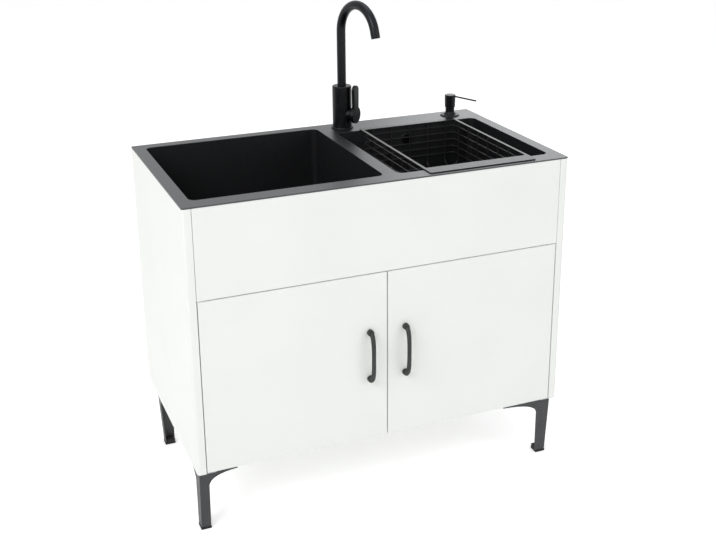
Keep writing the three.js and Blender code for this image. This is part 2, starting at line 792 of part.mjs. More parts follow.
// A pressed bowl: straight walls, a bend into the floor, a flange under the deck and a drain hole.
const bowlBendSteps = 3;
function pressedBowl(box) {
  const shell = (offset, top) => {
    const rings = [rectRing(box, -offset, bowlCorner + offset, top)];
    for (let i = 0; i <= bowlBendSteps; i += 1) {
      const angle = (Math.PI / 2) * (i / bowlBendSteps);
      const inset = (bowlBend + offset) * (1 - Math.cos(angle)) - offset;
      const z = bowlFloor + bowlBend - (bowlBend + offset) * Math.sin(angle);
      rings.push(rectRing(box, inset, bowlCorner - inset, z));
    }
    return skinned(rings);
  };
  const flangeTop = deckUnder - seat;
  const flange = skinned([
    rectRing(box, -bowlFlange, bowlCorner + bowlFlange, flangeTop - bowlWall),
    rectRing(box, -bowlFlange, bowlCorner + bowlFlange, flangeTop),
  ]);
  const cavity = shell(0, flangeTop + 5);
  const drain = uprightRod(middleX(box), drainY, bowlUnder - 2, bowlFloor + 2, drainHoleRadius, wideRound);
  return cut(join(shell(bowlWall, flangeTop - bowlWall / 2), flange), cavity, drain);
}

// Overflow: a hole high in the right bowl's rear wall, a rose inside it and an elbow body behind.
const overflowX = middleX(rightBowl);
const overflowZ = deckHeight - overflowDrop;
const overflowWallY = rightBowl.y1 + bowlWall;
const alongOverflow = (y0, y1, radius, endRadius = radius) => (
  rod(vec(overflowX, y0, overflowZ), vec(overflowX, y1, overflowZ), radius, middleRound, endRadius)
);
const overflowHole = alongOverflow(rightBowl.y1 - 1, overflowWallY + 1, overflowHoleRadius);
addPart('left_bowl', pressedBowl(leftBowl), darkBowl);
addPart('right_bowl', cut(pressedBowl(rightBowl), overflowHole), darkBowl);

function overflowRose() {
  const faceY = rightBowl.y1 - seat;
  const plate = alongOverflow(faceY, faceY - overflowRoseDepth, overflowRoseRadius, overflowRoseRadius - 1.5);
  const neck = alongOverflow(faceY - 1, overflowWallY, overflowHoleRadius - seat);
  const slots = Array.from({ length: overflowSlots }, (_, i) => {
    const x = overflowX + (i - (overflowSlots - 1) / 2) * overflowSlotPitch;
    const halfSlot = overflowSlotPitch / 5;
    const halfHeight = overflowHoleRadius * 0.55;
    return block(
      x - halfSlot, x + halfSlot, faceY - overflowRoseDepth - 1, overflowWallY + 1,
      overflowZ - halfHeight, overflowZ + halfHeight,
    );
  });
  return cut(join(plate, neck), ...slots);
}
addPart('overflow_rose', overflowRose(), stainless);

// The elbow body behind the bowl, with a spigot below it for the overflow hose.
function overflowElbow() {
  const frontFaceY = overflowWallY + seat;
  const backFace = frontFaceY + overflowElbowReach;
  const cup = alongOverflow(frontFaceY, backFace, overflowElbowRadius, overflowElbowRadius - 4);
  const hollow = alongOverflow(
    frontFaceY - 1, backFace - overflowElbowWall, overflowHoleRadius, overflowHoleRadius - 2,
  );
  const spigotY = frontFaceY + overflowElbowReach / 2 + 2;
  const spigotFoot = overflowZ - overflowSpigotDrop;
  const spigot = uprightRod(overflowX, spigotY, spigotFoot, overflowZ - 4, overflowSpigotRadius);
  const bore = uprightRod(
    overflowX, spigotY, spigotFoot - 1, overflowZ, overflowSpigotRadius - overflowSpigotWall, smallRound,
  );
  return cut(join(cup, spigot), hollow, bore);
}
addPart('overflow_elbow', overflowElbow(), blackPlastic);

// ---------------------------------------------------------------- drains

const cupOuter = drainHoleRadius - seat;
const cupInner = cupOuter - drainWall;
const cupFloor = -drainCupDepth;
const spigotBore = spigotRadius - spigotWall;
const spigotEnd = cupFloor - spigotLength;
const drainNutTop = -bowlWall - seat;

// Heights here are measured from the bowl's floor.
function drainBody(x) {
  return turned([
    [spigotBore, spigotEnd], [spigotRadius, spigotEnd], [spigotRadius, cupFloor - drainWall],
    [cupOuter, cupFloor - drainWall], [cupOuter, seat], [drainFlangeRadius, seat],
    [drainFlangeRadius, seat + drainFlangeHeight / 2], [drainFlangeRadius - 3, seat + drainFlangeHeight],
    [cupInner + 2, seat + drainFlangeHeight], [cupInner, -drainWall], [cupInner, cupFloor],
    [spigotBore, cupFloor], [spigotBore, spigotEnd],
  ], x, drainY, bowlFloor);
}

// A lift-out strainer: a perforated cup that hangs by its rim, with a knob on a post.
function strainer(x) {
  const rimZ = 2 * seat + drainFlangeHeight;
  const rimTop = rimZ + strainerSheet;
  const floorZ = rimZ - strainerDepth;
  const floorRadius = strainerRadius - strainerTaper;
  const knobTop = rimZ + strainerKnobHeight;
  const knobUnder = knobTop - strainerKnobRadius;
  const cup = turned([
    [0, floorZ], [floorRadius, floorZ], [strainerRadius, rimZ], [strainerRimRadius, rimZ],
    [strainerRimRadius, rimTop], [strainerRadius - strainerSheet, rimTop],
    [floorRadius - strainerSheet, floorZ + strainerSheet], [strainerPostRadius, floorZ + strainerSheet],
    [strainerPostRadius, knobUnder], [strainerKnobRadius, knobUnder + 1], [strainerKnobRadius - 1, knobTop],
    [0, knobTop],
  ], 0, 0, 0, middleRound);
  const holes = Array.from({ length: strainerHoles }, (_, i) => {
    const angle = (i / strainerHoles) * Math.PI * 2;
    const place = (radius, z) => vec(Math.cos(angle) * radius, Math.sin(angle) * radius, z);
    const wallZ = rimZ - strainerHoleDrop;
    const inFloor = [place(strainerHoleReach, floorZ - 1), place(strainerHoleReach, floorZ + strainerTaper)];
    const inWall = [place(floorRadius, wallZ), place(strainerRadius + 1, wallZ)];
    return [inFloor, inWall].map(([from, to]) => rod(from, to, strainerHoleRadius, wireSides));
  });
  return cut(cup, ...holes.flat()).translate(x, drainY, bowlFloor);
}

// The large nut under the bowl: a ring with grip lobes.
function drainNut(x) {
  const steps = drainNutLobes * 4;
  const rim = outline(Array.from({ length: steps }, (_, i) => {
    const angle = (i / steps) * Math.PI * 2;
    const radius = drainNutRadius - drainNutGrip * (0.5 - 0.5 * Math.cos(angle * drainNutLobes));
    return [x + Math.cos(angle) * radius, drainY + Math.sin(angle) * radius];
  }));
  rim.holes.push(polygon(x, drainY, cupOuter + 2 * seat));
  return board(rim, bowlFloor + drainNutTop - drainNutHeight, bowlFloor + drainNutTop);
}

for (const [hand, bowl] of [['left', leftBowl], ['right', rightBowl]]) {
  const x = middleX(bowl);
  addPart(`${hand}_drain_body`, drainBody(x), stainless);
  addPart(`${hand}_strainer`, strainer(x), stainless);
  addPart(`${hand}_drain_nut`, drainNut(x), whitePlastic);
}

// ---------------------------------------------------------------- waste pipes and trap

const leftDrainX = middleX(leftBowl);
const rightDrainX = middleX(rightBowl);
const teeX = (leftDrainX + rightDrainX) / 2;
const spigotZ = bowlFloor + spigotEnd;
const levelZ = spigotZ - elbowDrop;
const socketRadius = pipeRadius + socketWall;

// A swept pipe from a drain's spigot down and across to the tee, with a socket and a nut at its top.
function wasteElbow(x, towards) {
  const pipeEndX = teeX - towards * (teeHalf - socketDepth);
  const path = roundedPath(
    [vec(x, drainY, spigotZ - seat), vec(x, drainY, levelZ), vec(pipeEndX, drainY, levelZ)],
    elbowBend, elbowBendSteps,
  );
  const pipe = bentBar(path, vec(0, 1, 0), () => pipeRadius, middleRound);
  const socket = uprightRod(x, drainY, spigotZ - socketDepth / 2, spigotZ + socketDepth, socketRadius);
  const nutRadius = socketRadius + wasteNutWall;
  const nut = turned([
    [0, 0], [nutRadius - 1.5, 0], [nutRadius, 3], [nutRadius, wasteNutHeight - 2],
    [nutRadius - 1.5, wasteNutHeight], [0, wasteNutHeight],
  ], x, drainY, spigotZ - 2, wasteNutSides);
  const bore = uprightRod(x, drainY, spigotZ, spigotZ + socketDepth + 2, spigotRadius + seat, wideRound);
  return cut(join(pipe, socket, nut), bore);
}
addPart('left_waste_elbow', wasteElbow(leftDrainX, 1), whitePlastic);
addPart('right_waste_elbow', wasteElbow(rightDrainX, -1), whitePlastic);

const trapTop = levelZ - trapDrop;
function wasteTee() {
  const run = rod(vec(teeX - teeHalf, drainY, levelZ), vec(teeX + teeHalf, drainY, levelZ), socketRadius);
  const drop = uprightRod(teeX, drainY, trapTop - socketDepth + 2, levelZ, pipeRadius);
  const sockets = [-1, 1].map((side) => rod(
    vec(teeX + side * (teeHalf - socketDepth - seat), drainY, levelZ),
    vec(teeX + side * (teeHalf + 2), drainY, levelZ), pipeRadius + socketFit,
  ));
  return cut(join(run, drop), ...sockets);
}
addPart('waste_tee', wasteTee(), whitePlastic);

// The bottle trap: a capped body with a side outlet, and a cup that unscrews below it.
const outletZ = trapTop - trapOutletDrop;
const trapBodyBottom = trapTop - trapHeight + trapCupHeight;
function trapBody() {
  const foot = trapBodyBottom - trapTop;
  const nutRadius = socketRadius + wasteNutWall;
  const body = turned([
    [0, foot], [trapRadius - 2, foot], [trapRadius, foot + 2], [trapRadius, -trapShoulder],
    [trapRadius - 4, -trapShoulder / 2], [nutRadius, -trapShoulder / 3], [nutRadius, trapNutHeight - 3],
    [nutRadius - 2, trapNutHeight], [0, trapNutHeight],
  ], teeX, drainY, trapTop);
  const inlet = uprightRod(
    teeX, drainY, trapTop - socketDepth, trapTop + trapNutHeight + 1, pipeRadius + seat,
  );
  const branchEnd = drainY + trapOutletReach;
  const branch = rod(vec(teeX, drainY, outletZ), vec(teeX, branchEnd, outletZ), socketRadius);
  const socket = rod(
    vec(teeX, branchEnd - socketDepth, outletZ), vec(teeX, branchEnd + 1, outletZ), pipeRadius + seat,
  );
  return cut(join(body, branch), inlet, socket);
}
addPart('trap_body', trapBody(), whitePlastic);

function trapCup() {
  const bottom = -trapCupHeight;
  const bandRadius = trapRadius + trapBandDepth;
  const sideRadius = trapRadius - trapBandDepth;
  const cup = turned([
    [0, bottom], [trapRadius - trapCupFoot, bottom], [sideRadius, bottom + trapCupEase],
    [trapRadius - 1, -trapBandHeight - 1], [bandRadius, -trapBandHeight],
    [bandRadius, -1], [bandRadius - 2, 0], [0, 0],
  ], 0, 0, 0);
  const flutes = Array.from({ length: trapGrips }, (_, i) => {
    const angle = (i / trapGrips) * Math.PI * 2;
    const reach = bandRadius + trapGripRadius / 2;
    const x = Math.cos(angle) * reach;
    const y = Math.sin(angle) * reach;
    return uprightRod(x, y, -trapBandHeight - 2, 1, trapGripRadius, 6);
  });
  return cut(cup, ...flutes).translate(teeX, drainY, trapBodyBottom - seat);
}
addPart('trap_cup', trapCup(), whitePlastic);

addPart('outlet_pipe', rod(
  vec(teeX, drainY + trapOutletReach - socketDepth + seat, outletZ), vec(teeX, rearY, outletZ), pipeRadius,
), whitePlastic);

// ---------------------------------------------------------------- wire basket

// A flat steel rim across the bowl, and a cage of welded wires that hangs inside it.
const wireRadius = wireThickness / Math.SQRT2;   // of the square section's corners
const wireWeld = wireThickness / 5;              // how deep two crossing wires run into each other
function weldedWire(path, normal, ringed = false) {
  return bentBar(path, normal, () => wireRadius, wireSides, ringed, 0.5);
}

function wireBasket() {
  const rim = {
    x0: rightBowl.x0 + basketInset,
    x1: rightBowl.x0 + basketInset + basketWidth,
    y0: frontY + basketFrontEdge,
    y1: rightBowl.y1 + basketRearRest,
  };
  const rimZ = deckHeight + seat;
  const cage = {
    x0: rim.x0 + basketSideBar - wireWeld,
    x1: rim.x1 - basketSideBar + wireWeld,
    y0: rightBowl.y0 + basketWall,
    y1: rightBowl.y1 - basketWall,
  };
  const rimPlan = roundedRect(rim.x0, rim.x1, rim.y0, rim.y1, basketRimCorner);
  rimPlan.holes.push(roundedRect(
    cage.x0 + wireWeld, cage.x1 - wireWeld, cage.y0 + wireWeld, cage.y1 - wireWeld, basketRimCorner,
  ));
  const rimPlate = board(rimPlan, rimZ, rimZ + basketRimThickness, 0, 1);

  const cageFloor = deckHeight - basketDepth;
  const hang = rimZ + basketRimThickness / 2;
  const crossing = wireThickness - wireWeld;
  const rowPitch = (basketDepth - basketBend) / (basketRows + 0.5);
  const rows = Array.from({ length: basketRows }, (_, i) => (
    weldedWire(rectRing(cage, -crossing, basketCorner, deckHeight - rowPitch * (i + 0.8)), vec(0, 0, 1), true)
  ));
  const hoop = (from, to, normal) => {
    const corners = [from.clone().setZ(hang), from, to, to.clone().setZ(hang)];
    return weldedWire(roundedPath(corners, basketBend, basketBendSteps), normal);
  };
  const spread = (from, to, i, count) => from + (to - from) * ((i + 0.5) / count);
  const longHoops = Array.from({ length: basketLongWires }, (_, i) => {
    const x = spread(cage.x0, cage.x1, i, basketLongWires);
    return hoop(vec(x, cage.y0, cageFloor), vec(x, cage.y1, cageFloor), vec(1, 0, 0));
  });
  const crossHoops = Array.from({ length: basketCrossWires }, (_, i) => {
    const y = spread(cage.y0, cage.y1, i, basketCrossWires);
    return hoop(vec(cage.x0, y, cageFloor + crossing), vec(cage.x1, y, cageFloor + crossing), vec(0, 1, 0));
  });
  return join(rimPlate, ...rows, ...longHoops, ...crossHoops);
}
addPart('wire_basket', wireBasket(), blackSteel);

// ---------------------------------------------------------------- mixer tap

const tapAxis = new THREE.Group();
tapAxis.position.set(tapX, fittingY, deckHeight);
sinkUnit.add(tapAxis);

const tapBottom = seat + tapRingHeight + seat;
addPart('tap_base_ring', turned([
  [shankRadius + running, seat], [tapRingRadius, seat], [tapRingRadius, seat + 1.5],
  [tapRingRadius - 2, seat + tapRingHeight], [shankRadius + running, seat + tapRingHeight],
  [shankRadius + running, seat],
], 0, 0, 0), stainless, tapAxis);

// The body: a turned barrel with a side boss for the cartridge, bored for the spout and the spindle.
const bossAxis = vec(Math.cos(radians(bossTurn)), -Math.sin(radians(bossTurn)), 0);
const bossPoint = (reach) => bossAxis.clone().multiplyScalar(reach).setZ(bossRise);
function tapBody() {
  const barrel = turned([
    [0, tapBottom], [tapRadius, tapBottom], [tapRadius, tapHeight - tapArris],
    [tapRadius - tapArris, tapHeight], [0, tapHeight],
  ], 0, 0, 0);
  const boss = rod(bossPoint(0), bossPoint(bossReach), bossRadius);
  const spindleBore = rod(
    bossPoint(bossReach - spindleLength - running), bossPoint(bossReach + 1), spindleRadius + running,
  );
  const spoutBore = uprightRod(0, 0, tapHeight - tapBoreDepth, tapHeight + 1, spoutRadius + running);
  return cut(join(barrel, boss), spindleBore, spoutBore);
}
addPart('tap_body', tapBody(), gunmetal, tapAxis);

// The boss's own frame: x level across it, y up, z outwards along its axis.
const bossFrame = new THREE.Group();
bossFrame.position.set(0, 0, bossRise);
bossFrame.quaternion.setFromRotationMatrix(new THREE.Matrix4().makeBasis(
  vec(0, 0, 1).cross(bossAxis), vec(0, 0, 1), bossAxis,
));
tapAxis.add(bossFrame);

// The lever is hinged to a turret that turns on the boss. Its pin lies along the hub's lower rear edge.
const turretFace = bossReach + seat + turretThickness;
const leverBack = turretFace + seat;
const hingeDrop = turretRadius + 0.5;
const hingeOut = leverBack + leverEarRadius;
function tapTurret() {
  const plate = rod(vec(0, 0, bossReach + seat), vec(0, 0, turretFace), turretRadius);
  const spindle = rod(vec(0, 0, bossReach - spindleLength), vec(0, 0, bossReach + 1), spindleRadius);
  const ear = block(
    -leverEarHalf, leverEarHalf, -hingeDrop - leverEarRadius, -hingeDrop + leverEarRadius,
    turretFace - 1, hingeOut + leverEarRadius,
  );
  const pinEnd = (x) => vec(x, -hingeDrop, hingeOut);
  const pin = rod(pinEnd(-leverPinHalf), pinEnd(leverPinHalf), leverPinRadius, smallRound);
  return join(plate, spindle, ear, pin);
}
addPart('tap_turret', tapTurret(), gunmetal, bossFrame);

// A paddle lever: a round hub drawn up into a blade with a round end.
function tapLever() {
  const blade = new THREE.Shape();
  const start = Math.asin(leverRootRadius / hubRadius);
  blade.absarc(0, 0, hubRadius, Math.PI / 2 + start, Math.PI / 2 - start + Math.PI * 2);
  blade.absarc(0, leverLength, leverEndRadius, 0, Math.PI);
  blade.closePath();
  const plate = board(blade, leverBack, leverBack + leverThickness, leverArris, 6);
  const earRoom = leverEarRadius * Math.SQRT2 + running;
  const pinRoom = leverPinRadius + running;
  const earSlot = block(
    -leverEarHalf - running, leverEarHalf + running, -hubRadius - 1, -hingeDrop + earRoom,
    leverBack - 1, hingeOut + earRoom,
  );
  const pinSlot = block(
    -leverPinHalf - running, leverPinHalf + running, -hingeDrop - pinRoom, -hingeDrop + pinRoom,
    leverBack - 1, hingeOut + pinRoom,
  );
  return cut(plate, earSlot, pinSlot);
}
addPart('tap_lever', tapLever(), gunmetal, bossFrame);

// The swan-neck spout, in a frame turned to its rest direction: it bends over towards -y.
const spoutFrame = new THREE.Group();
spoutFrame.rotation.z = radians(spoutTurn);
tapAxis.add(spoutFrame);
const spoutEndAngle = radians(spoutSweep);
const onSpoutBend = (angle) => (
  vec(0, -spoutBend * (1 - Math.cos(angle)), spoutRise + spoutBend * Math.sin(angle))
);
const spoutAim = vec(0, -Math.sin(spoutEndAngle), Math.cos(spoutEndAngle));
const fromSpoutTip = (out) => onSpoutBend(spoutEndAngle).addScaledVector(spoutAim, spoutTail + out);
function spoutPipe() {
  const path = [vec(0, 0, tapHeight - tapBoreDepth + running)];
  for (let i = 0; i <= spoutBendSteps; i += 1) {
    path.push(onSpoutBend(spoutEndAngle * (i / spoutBendSteps)));
  }
  path.push(fromSpoutTip(0));
  const outer = bentBar(path, vec(1, 0, 0), () => spoutRadius, middleRound);
  const mouth = rod(fromSpoutTip(-aeratorLength), fromSpoutTip(1), spoutRadius - spoutWall);
  return cut(outer, mouth);
}
addPart('tap_spout', spoutPipe(), gunmetal, spoutFrame);

// The insert in the spout's mouth, with a recessed face.
function aerator() {
  const insert = rod(fromSpoutTip(seat - aeratorLength), fromSpoutTip(-0.6), spoutRadius - spoutWall - seat);
  const throat = rod(fromSpoutTip(-aeratorThroat), fromSpoutTip(1), aeratorThroatRadius, smallRound);
  return cut(insert, throat);
}
addPart('tap_aerator', aerator(), blackPlastic, spoutFrame);

// The threaded shank under the deck, with the two blind ports for the supplies, and its fixing nut.
const shankBottom = -deckThickness - shankLength;
function tapShank() {
  const shank = uprightRod(0, 0, shankBottom, seat + tapRingHeight, shankRadius);
  const ports = [-1, 1].map((side) => (
    uprightRod(side * inletSpacing / 2, 0, shankBottom - 1, shankBottom + inletDepth, inletRadius, smallRound)
  ));
  return cut(shank, ...ports);
}
addPart('tap_shank', tapShank(), zincPlate, tapAxis);

// A hexagonal nut drawn up under the deck.
const nutTop = -deckThickness - seat;
function fixingNut(radius, bore, height) {
  const hexagon = polygon(0, 0, radius, 6);
  hexagon.holes.push(polygon(0, 0, bore));
  return board(hexagon, nutTop - height, nutTop);
}
const tapNut = fixingNut(fixingNutRadius, shankRadius + seat, fixingNutHeight);
addPart('tap_fixing_nut', tapNut, zincPlate, tapAxis);

// ---------------------------------------------------------------- soap pump

const soapAxis = new THREE.Group();
soapAxis.position.set(soapX, fittingY, deckHeight);
sinkUnit.add(soapAxis);

const soapBore = soapStemRadius + running;
const soapShankEnd = -deckThickness - soapShankLength;
addPart('soap_collar', turned([
  [soapBore, soapShankEnd], [soapShankRadius, soapShankEnd], [soapShankRadius, seat],
  [soapFlangeRadius, seat], [soapFlangeRadius, seat + 1], [soapFlangeRadius - 4, soapFlangeHeight],
  [soapConeRadius, soapFlangeHeight], [soapCollarRadius, soapConeTop], [soapCollarRadius, soapCollarTop - 1],
  [soapCollarRadius - 1, soapCollarTop], [soapBore, soapCollarTop], [soapBore, soapShankEnd],
], 0, 0, 0, middleRound), gunmetal, soapAxis);

const capRoof = soapCollarTop + soapStroke + 1;
const soapStem = uprightRod(0, 0, soapShankEnd - soapStemTail, capRoof - seat, soapStemRadius, smallRound);
addPart('soap_stem', soapStem, stainless, soapAxis);

// The cap slides over the collar and carries the fine nozzle.
const nozzleFrame = new THREE.Group();
nozzleFrame.rotation.z = -radians(nozzleTurn);
soapAxis.add(nozzleFrame);
function soapCap() {
  const inner = soapCapRadius - soapCapWall;
  const cap = turned([
    [inner, soapCapBottom], [soapCapRadius - soapCapTaper, soapCapBottom],
    [soapCapRadius, soapCapTop - soapCapHead], [soapCapRadius, soapCapTop - soapCapArris],
    [soapCapRadius - soapCapArris, soapCapTop], [0, soapCapTop],
    [0, capRoof], [inner, capRoof], [inner, soapCapBottom],
  ], 0, 0, 0, middleRound);
  const fall = (nozzleLength - soapCapRadius) * Math.tan(radians(nozzleSlope));
  const root = vec(soapCapRadius - soapCapWall, 0, soapCapTop - nozzleDrop);
  const tip = vec(nozzleLength, 0, soapCapTop - nozzleDrop - fall);
  const nozzle = rod(root, tip, nozzleRadius, smallRound);
  const bore = rod(tip.clone().lerp(root, 0.12), tip.clone().lerp(root, -0.02), nozzleRadius / 2, 6);
  return cut(join(cap, nozzle), bore);
}
addPart('soap_cap', soapCap(), gunmetal, nozzleFrame);

const neckBore = soapShankRadius + seat;
addPart('soap_fixing_nut', fixingNut(soapNutRadius, neckBore, soapNutHeight), blackPlastic, soapAxis);

const bottleTop = nutTop - soapNutHeight - seat;
const bottleShoulder = bottleTop - bottleNeckHeight;
const bottleBottom = bottleShoulder - bottleHeight;
const bottleInner = bottleRadius - bottleWall;
addPart('soap_bottle', turned([
  [0, bottleBottom], [bottleRadius - bottleEase, bottleBottom], [bottleRadius, bottleBottom + bottleEase],
  [bottleRadius, bottleShoulder - 2 * bottleEase], [bottleNeckRadius, bottleShoulder],
  [bottleNeckRadius, bottleTop], [neckBore, bottleTop], [neckBore, bottleShoulder - bottleWall],
  [bottleInner, bottleShoulder - 2 * bottleEase - 1], [bottleInner, bottleBottom + bottleEase + 1],
  [bottleInner - bottleEase, bottleBottom + bottleWall], [0, bottleBottom + bottleWall],
], 0, 0, 0, middleRound), clearPlastic, soapAxis);

export default sinkUnit;
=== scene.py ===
from math import cos, pi, radians, sin, sqrt, tan

import bmesh
import bpy
from bpy.props import FloatProperty, FloatVectorProperty, IntProperty, PointerProperty
from mathutils import Matrix, Vector


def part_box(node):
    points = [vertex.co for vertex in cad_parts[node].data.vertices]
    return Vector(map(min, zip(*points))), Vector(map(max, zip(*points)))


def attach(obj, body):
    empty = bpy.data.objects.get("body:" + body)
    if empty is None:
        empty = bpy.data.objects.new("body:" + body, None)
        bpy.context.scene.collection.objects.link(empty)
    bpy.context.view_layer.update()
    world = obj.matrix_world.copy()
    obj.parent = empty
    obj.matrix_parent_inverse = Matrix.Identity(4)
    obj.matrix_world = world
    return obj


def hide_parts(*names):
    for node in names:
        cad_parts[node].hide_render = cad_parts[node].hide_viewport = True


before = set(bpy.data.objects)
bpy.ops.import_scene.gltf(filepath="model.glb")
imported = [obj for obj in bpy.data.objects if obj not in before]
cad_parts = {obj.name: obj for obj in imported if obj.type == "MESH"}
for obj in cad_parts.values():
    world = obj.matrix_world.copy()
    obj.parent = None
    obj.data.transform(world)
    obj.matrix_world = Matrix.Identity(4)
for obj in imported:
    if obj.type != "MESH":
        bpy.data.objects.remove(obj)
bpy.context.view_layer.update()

bl_info = {
    "name": "Kitchen sink unit",
    "version": (1, 0, 0),
    "blender": (4, 5, 0),
    "location": "3D View > Sidebar > Sink unit",
    "description": "Dresses a kitchen sink unit: cabinet, sink, waste pipes, basket, mixer tap and soap pump",
    "category": "Object",
}

MM = 0.001
UP = Vector((0, 0, 1))
MERGE = 0.002 * MM  # corners closer than this are one
FLAT = radians(0.5)  # faces that meet at less than this are one flat face
ARC_HANDLE = 0.5523  # handle of a quarter circle's Bezier curve, as a share of its radius


# ---- colours and sizes

def linear(code):
    """The linear red, green and blue of an sRGB hex code."""
    levels = [int(code[i:i + 2], 16) / 255 for i in (0, 2, 4)]
    return tuple(v / 12.92 if v <= 0.04045 else ((v + 0.055) / 1.055) ** 2.4 for v in levels)


def colour(name, code, description):
    return FloatVectorProperty(
        name=name, description=description, subtype="COLOR", size=3, min=0, max=1, default=linear(code))


def length(name, millimetres, description):
    return FloatProperty(name=name, description=description, unit="LENGTH", default=millimetres * MM, min=0)


def angle(name, degrees, description):
    return FloatProperty(name=name, description=description, subtype="ANGLE", default=radians(degrees))


def share(name, default, description):
    return FloatProperty(name=name, description=description, subtype="FACTOR", default=default, min=0, max=1)


def count(name, default, description):
    return IntProperty(name=name, description=description, default=default, min=1)


class SinkUnitFinishes(bpy.types.PropertyGroup):
    """Colours of the finishes."""
    lacquer: colour("Lacquer", "EEF0ED", "Satin white lacquer on the boards")
    powder: colour("Powder coat", "2E2F31", "Black powder coat on the legs")
    handle: colour("Handles", "1D1E1F", "Black powder coat on the handles")
    deck: colour("Deck", "535557", "Dark brushed steel of the sink deck")
    # painted shade: the bowls are the deck's steel, given this near-black colour to stand for the shade
    # inside them
    bowl: colour("Bowls", "2E2F31", "The deck's steel, painted near-black as the shade in the bowls")
    gunmetal: colour("Gunmetal", "292A2C", "Plating of the tap and the soap pump")
    stainless: colour("Stainless", "A3A6A8", "Satin stainless steel of the drains")
    rim: colour("Basket rim", "3A3C3E", "Dark brushed steel of the basket's rim")
    wire: colour("Basket wires", "141415", "Black coat of the basket's wires")
    zinc: colour("Zinc", "AEB3B6", "Zinc plate of screws, pivots and nuts")
    polypropylene: colour("Waste pipes", "F0F0EC", "Moulded white polypropylene")
    nylon: colour("Black nylon", "1B1B1C", "Moulded black nylon")
    bottle: colour("Bottle", "E2E5E2", "Frosted polyethylene of the soap bottle")
    rubber: colour("Rubber", "161616", "Moulded black rubber of the feet")


class SinkUnitCabinetSizes(bpy.types.PropertyGroup):
    """Sizes of the cabinet, its doors and its legs."""
    board_arris: length("Board arris", 0.9, "Rounding of a board's edges")
    side_arris: length("Side arris", 7, "Rounding of a side panel's front corner")
    handle_pitch: length("Handle pitch", 114, "Distance between a handle's feet")
    handle_bar: length("Handle end radius", 5.6, "Radius of a handle's bar at its feet")
    handle_waist: length("Handle waist radius", 4.8, "Radius of a handle's bar at its middle")
    handle_round: share("Handle roundness", 0.62, "A handle's arch: square at 0, an ellipse at 1")
    handle_foot: length("Handle foot radius", 7.6, "Radius of a handle's feet")
    handle_foot_height: length("Handle foot height", 11, "Height of a handle's feet")
    screw_head: length("Screw head", 2.4, "Height of a screw's head")
    sheet_edge: length("Sheet edge", 0.6, "Rounding of cut sheet steel")
    foot_draw: share("Foot draw", 0.88, "Plan scale of a foot in its leg")
    plug_drop: length("Plug drop", 7, "How far a foot's plug stays under the node's top")


class SinkUnitSinkSizes(bpy.types.PropertyGroup):
    """Sizes of the sink deck, bowls, drains and waste."""
    deck_corner: length("Deck corner", 4, "Plan corner of the deck")
    deck_edge: length("Deck edge", 0.7, "Rounding of the deck's edges")
    tap_hole: length("Tap hole radius", 16.9, "Radius of the tap's hole in the deck")
    pump_hole: length("Pump hole radius", 12.4, "Radius of the soap pump's hole in the deck")
    bowl_flange: length("Bowl flange", 6, "Flange of a bowl under the deck")
    bowl_wall: length("Bowl wall", 1.5, "Thickness of a bowl")
    bowl_corner: length("Bowl corner", 16, "Plan corner of a bowl")
    bowl_bend: length("Bowl bend", 12, "Bend between a bowl's walls and its floor")
    drain_hole: length("Drain hole radius", 43, "Radius of the hole in a bowl's floor")
    drain_depth: length("Drain depth", 46, "Depth of a drain's cup under the bowl's floor")
    drain_wall: length("Drain wall", 1.8, "Wall of a drain's cup")
    spigot: length("Spigot radius", 20, "Radius of a drain's spigot and of the waste pipes")
    strainer_depth: length("Strainer depth", 34, "Depth of a strainer's cup")
    strainer_sheet: length("Strainer sheet", 1.2, "Thickness of a strainer")
    strainer_holes: count("Strainer holes", 12, "Holes in a ring of a strainer")
    elbow_bend: length("Elbow bend", 34, "Bend of a waste elbow")
    overflow_bore: length("Overflow bore", 11, "Radius of the overflow's hole in the bowl")


class SinkUnitBasketSizes(bpy.types.PropertyGroup):
    """Sizes of the wire basket."""
    wire: length("Wire", 2.4, "Thickness of a wire")
    rows: count("Rows", 5, "Level rows of wire")
    long_hoops: count("Long hoops", 5, "Hoops that run front to back")
    cross_hoops: count("Cross hoops", 7, "Hoops that run side to side")
    side_bar: length("Side bar", 7, "Width of the rim's side bars")
    rim: length("Rim", 2, "Thickness of the rim")
    rim_corner: length("Rim corner", 5, "Plan corner of the rim")
    wall: length("Wall", 6, "From a bowl's wall to the hoops")
    row_corner: length("Row corner", 11, "Plan corner of a row")
    bend: length("Bend", 15, "Bend from the floor into the walls")


class SinkUnitTapSizes(bpy.types.PropertyGroup):
    """Sizes of the mixer tap."""
    ring_bore: length("Ring bore", 17, "Inner radius of the base ring")
    body_radius: length("Body radius", 24, "Radius of the body")
    body_arris: length("Body arris", 2.5, "Rounding of the body's top")
    spout_radius: length("Spout radius", 10.96, "Radius of the swan neck")
    spout_well: length("Spout well", 34, "Depth of the spout's well in the body")
    spout_bend: length("Spout bend", 72, "Bend radius of the swan neck")
    spout_sweep: angle("Spout sweep", 164, "Angle of the swan neck's bend")
    spout_tail: length("Spout tail", 18, "Straight end of the swan neck")
    spout_turn: angle("Spout turn", 12.5, "Rest direction of the spout, from the front")
    spout_rise: length("Spout rise", 243, "Centre of the bend above the deck")
    boss_radius: length("Boss radius", 16, "Radius of the cartridge boss")
    boss_reach: length("Boss reach", 30, "End of the boss from the tap's axis")
    boss_rise: length("Boss rise", 36, "Axis of the boss above the deck")
    boss_turn: angle("Boss turn", 50, "Direction of the boss, from +X to the front")
    turret: length("Turret thickness", 3, "Thickness of the turret's plate")
    turret_radius: length("Turret radius", 15.5, "Radius of the turret's plate")
    hub_radius: length("Hub radius", 21, "Radius of the lever's hub")
    lever_length: length("Lever length", 63, "From the hub's axis to the blade's round end")
    lever_end: length("Lever end radius", 12, "Radius of the blade's round end")
    lever_root: length("Lever root", 11, "Half width of the blade where it leaves the hub")
    lever_thickness: length("Lever thickness", 8, "Thickness of the lever")


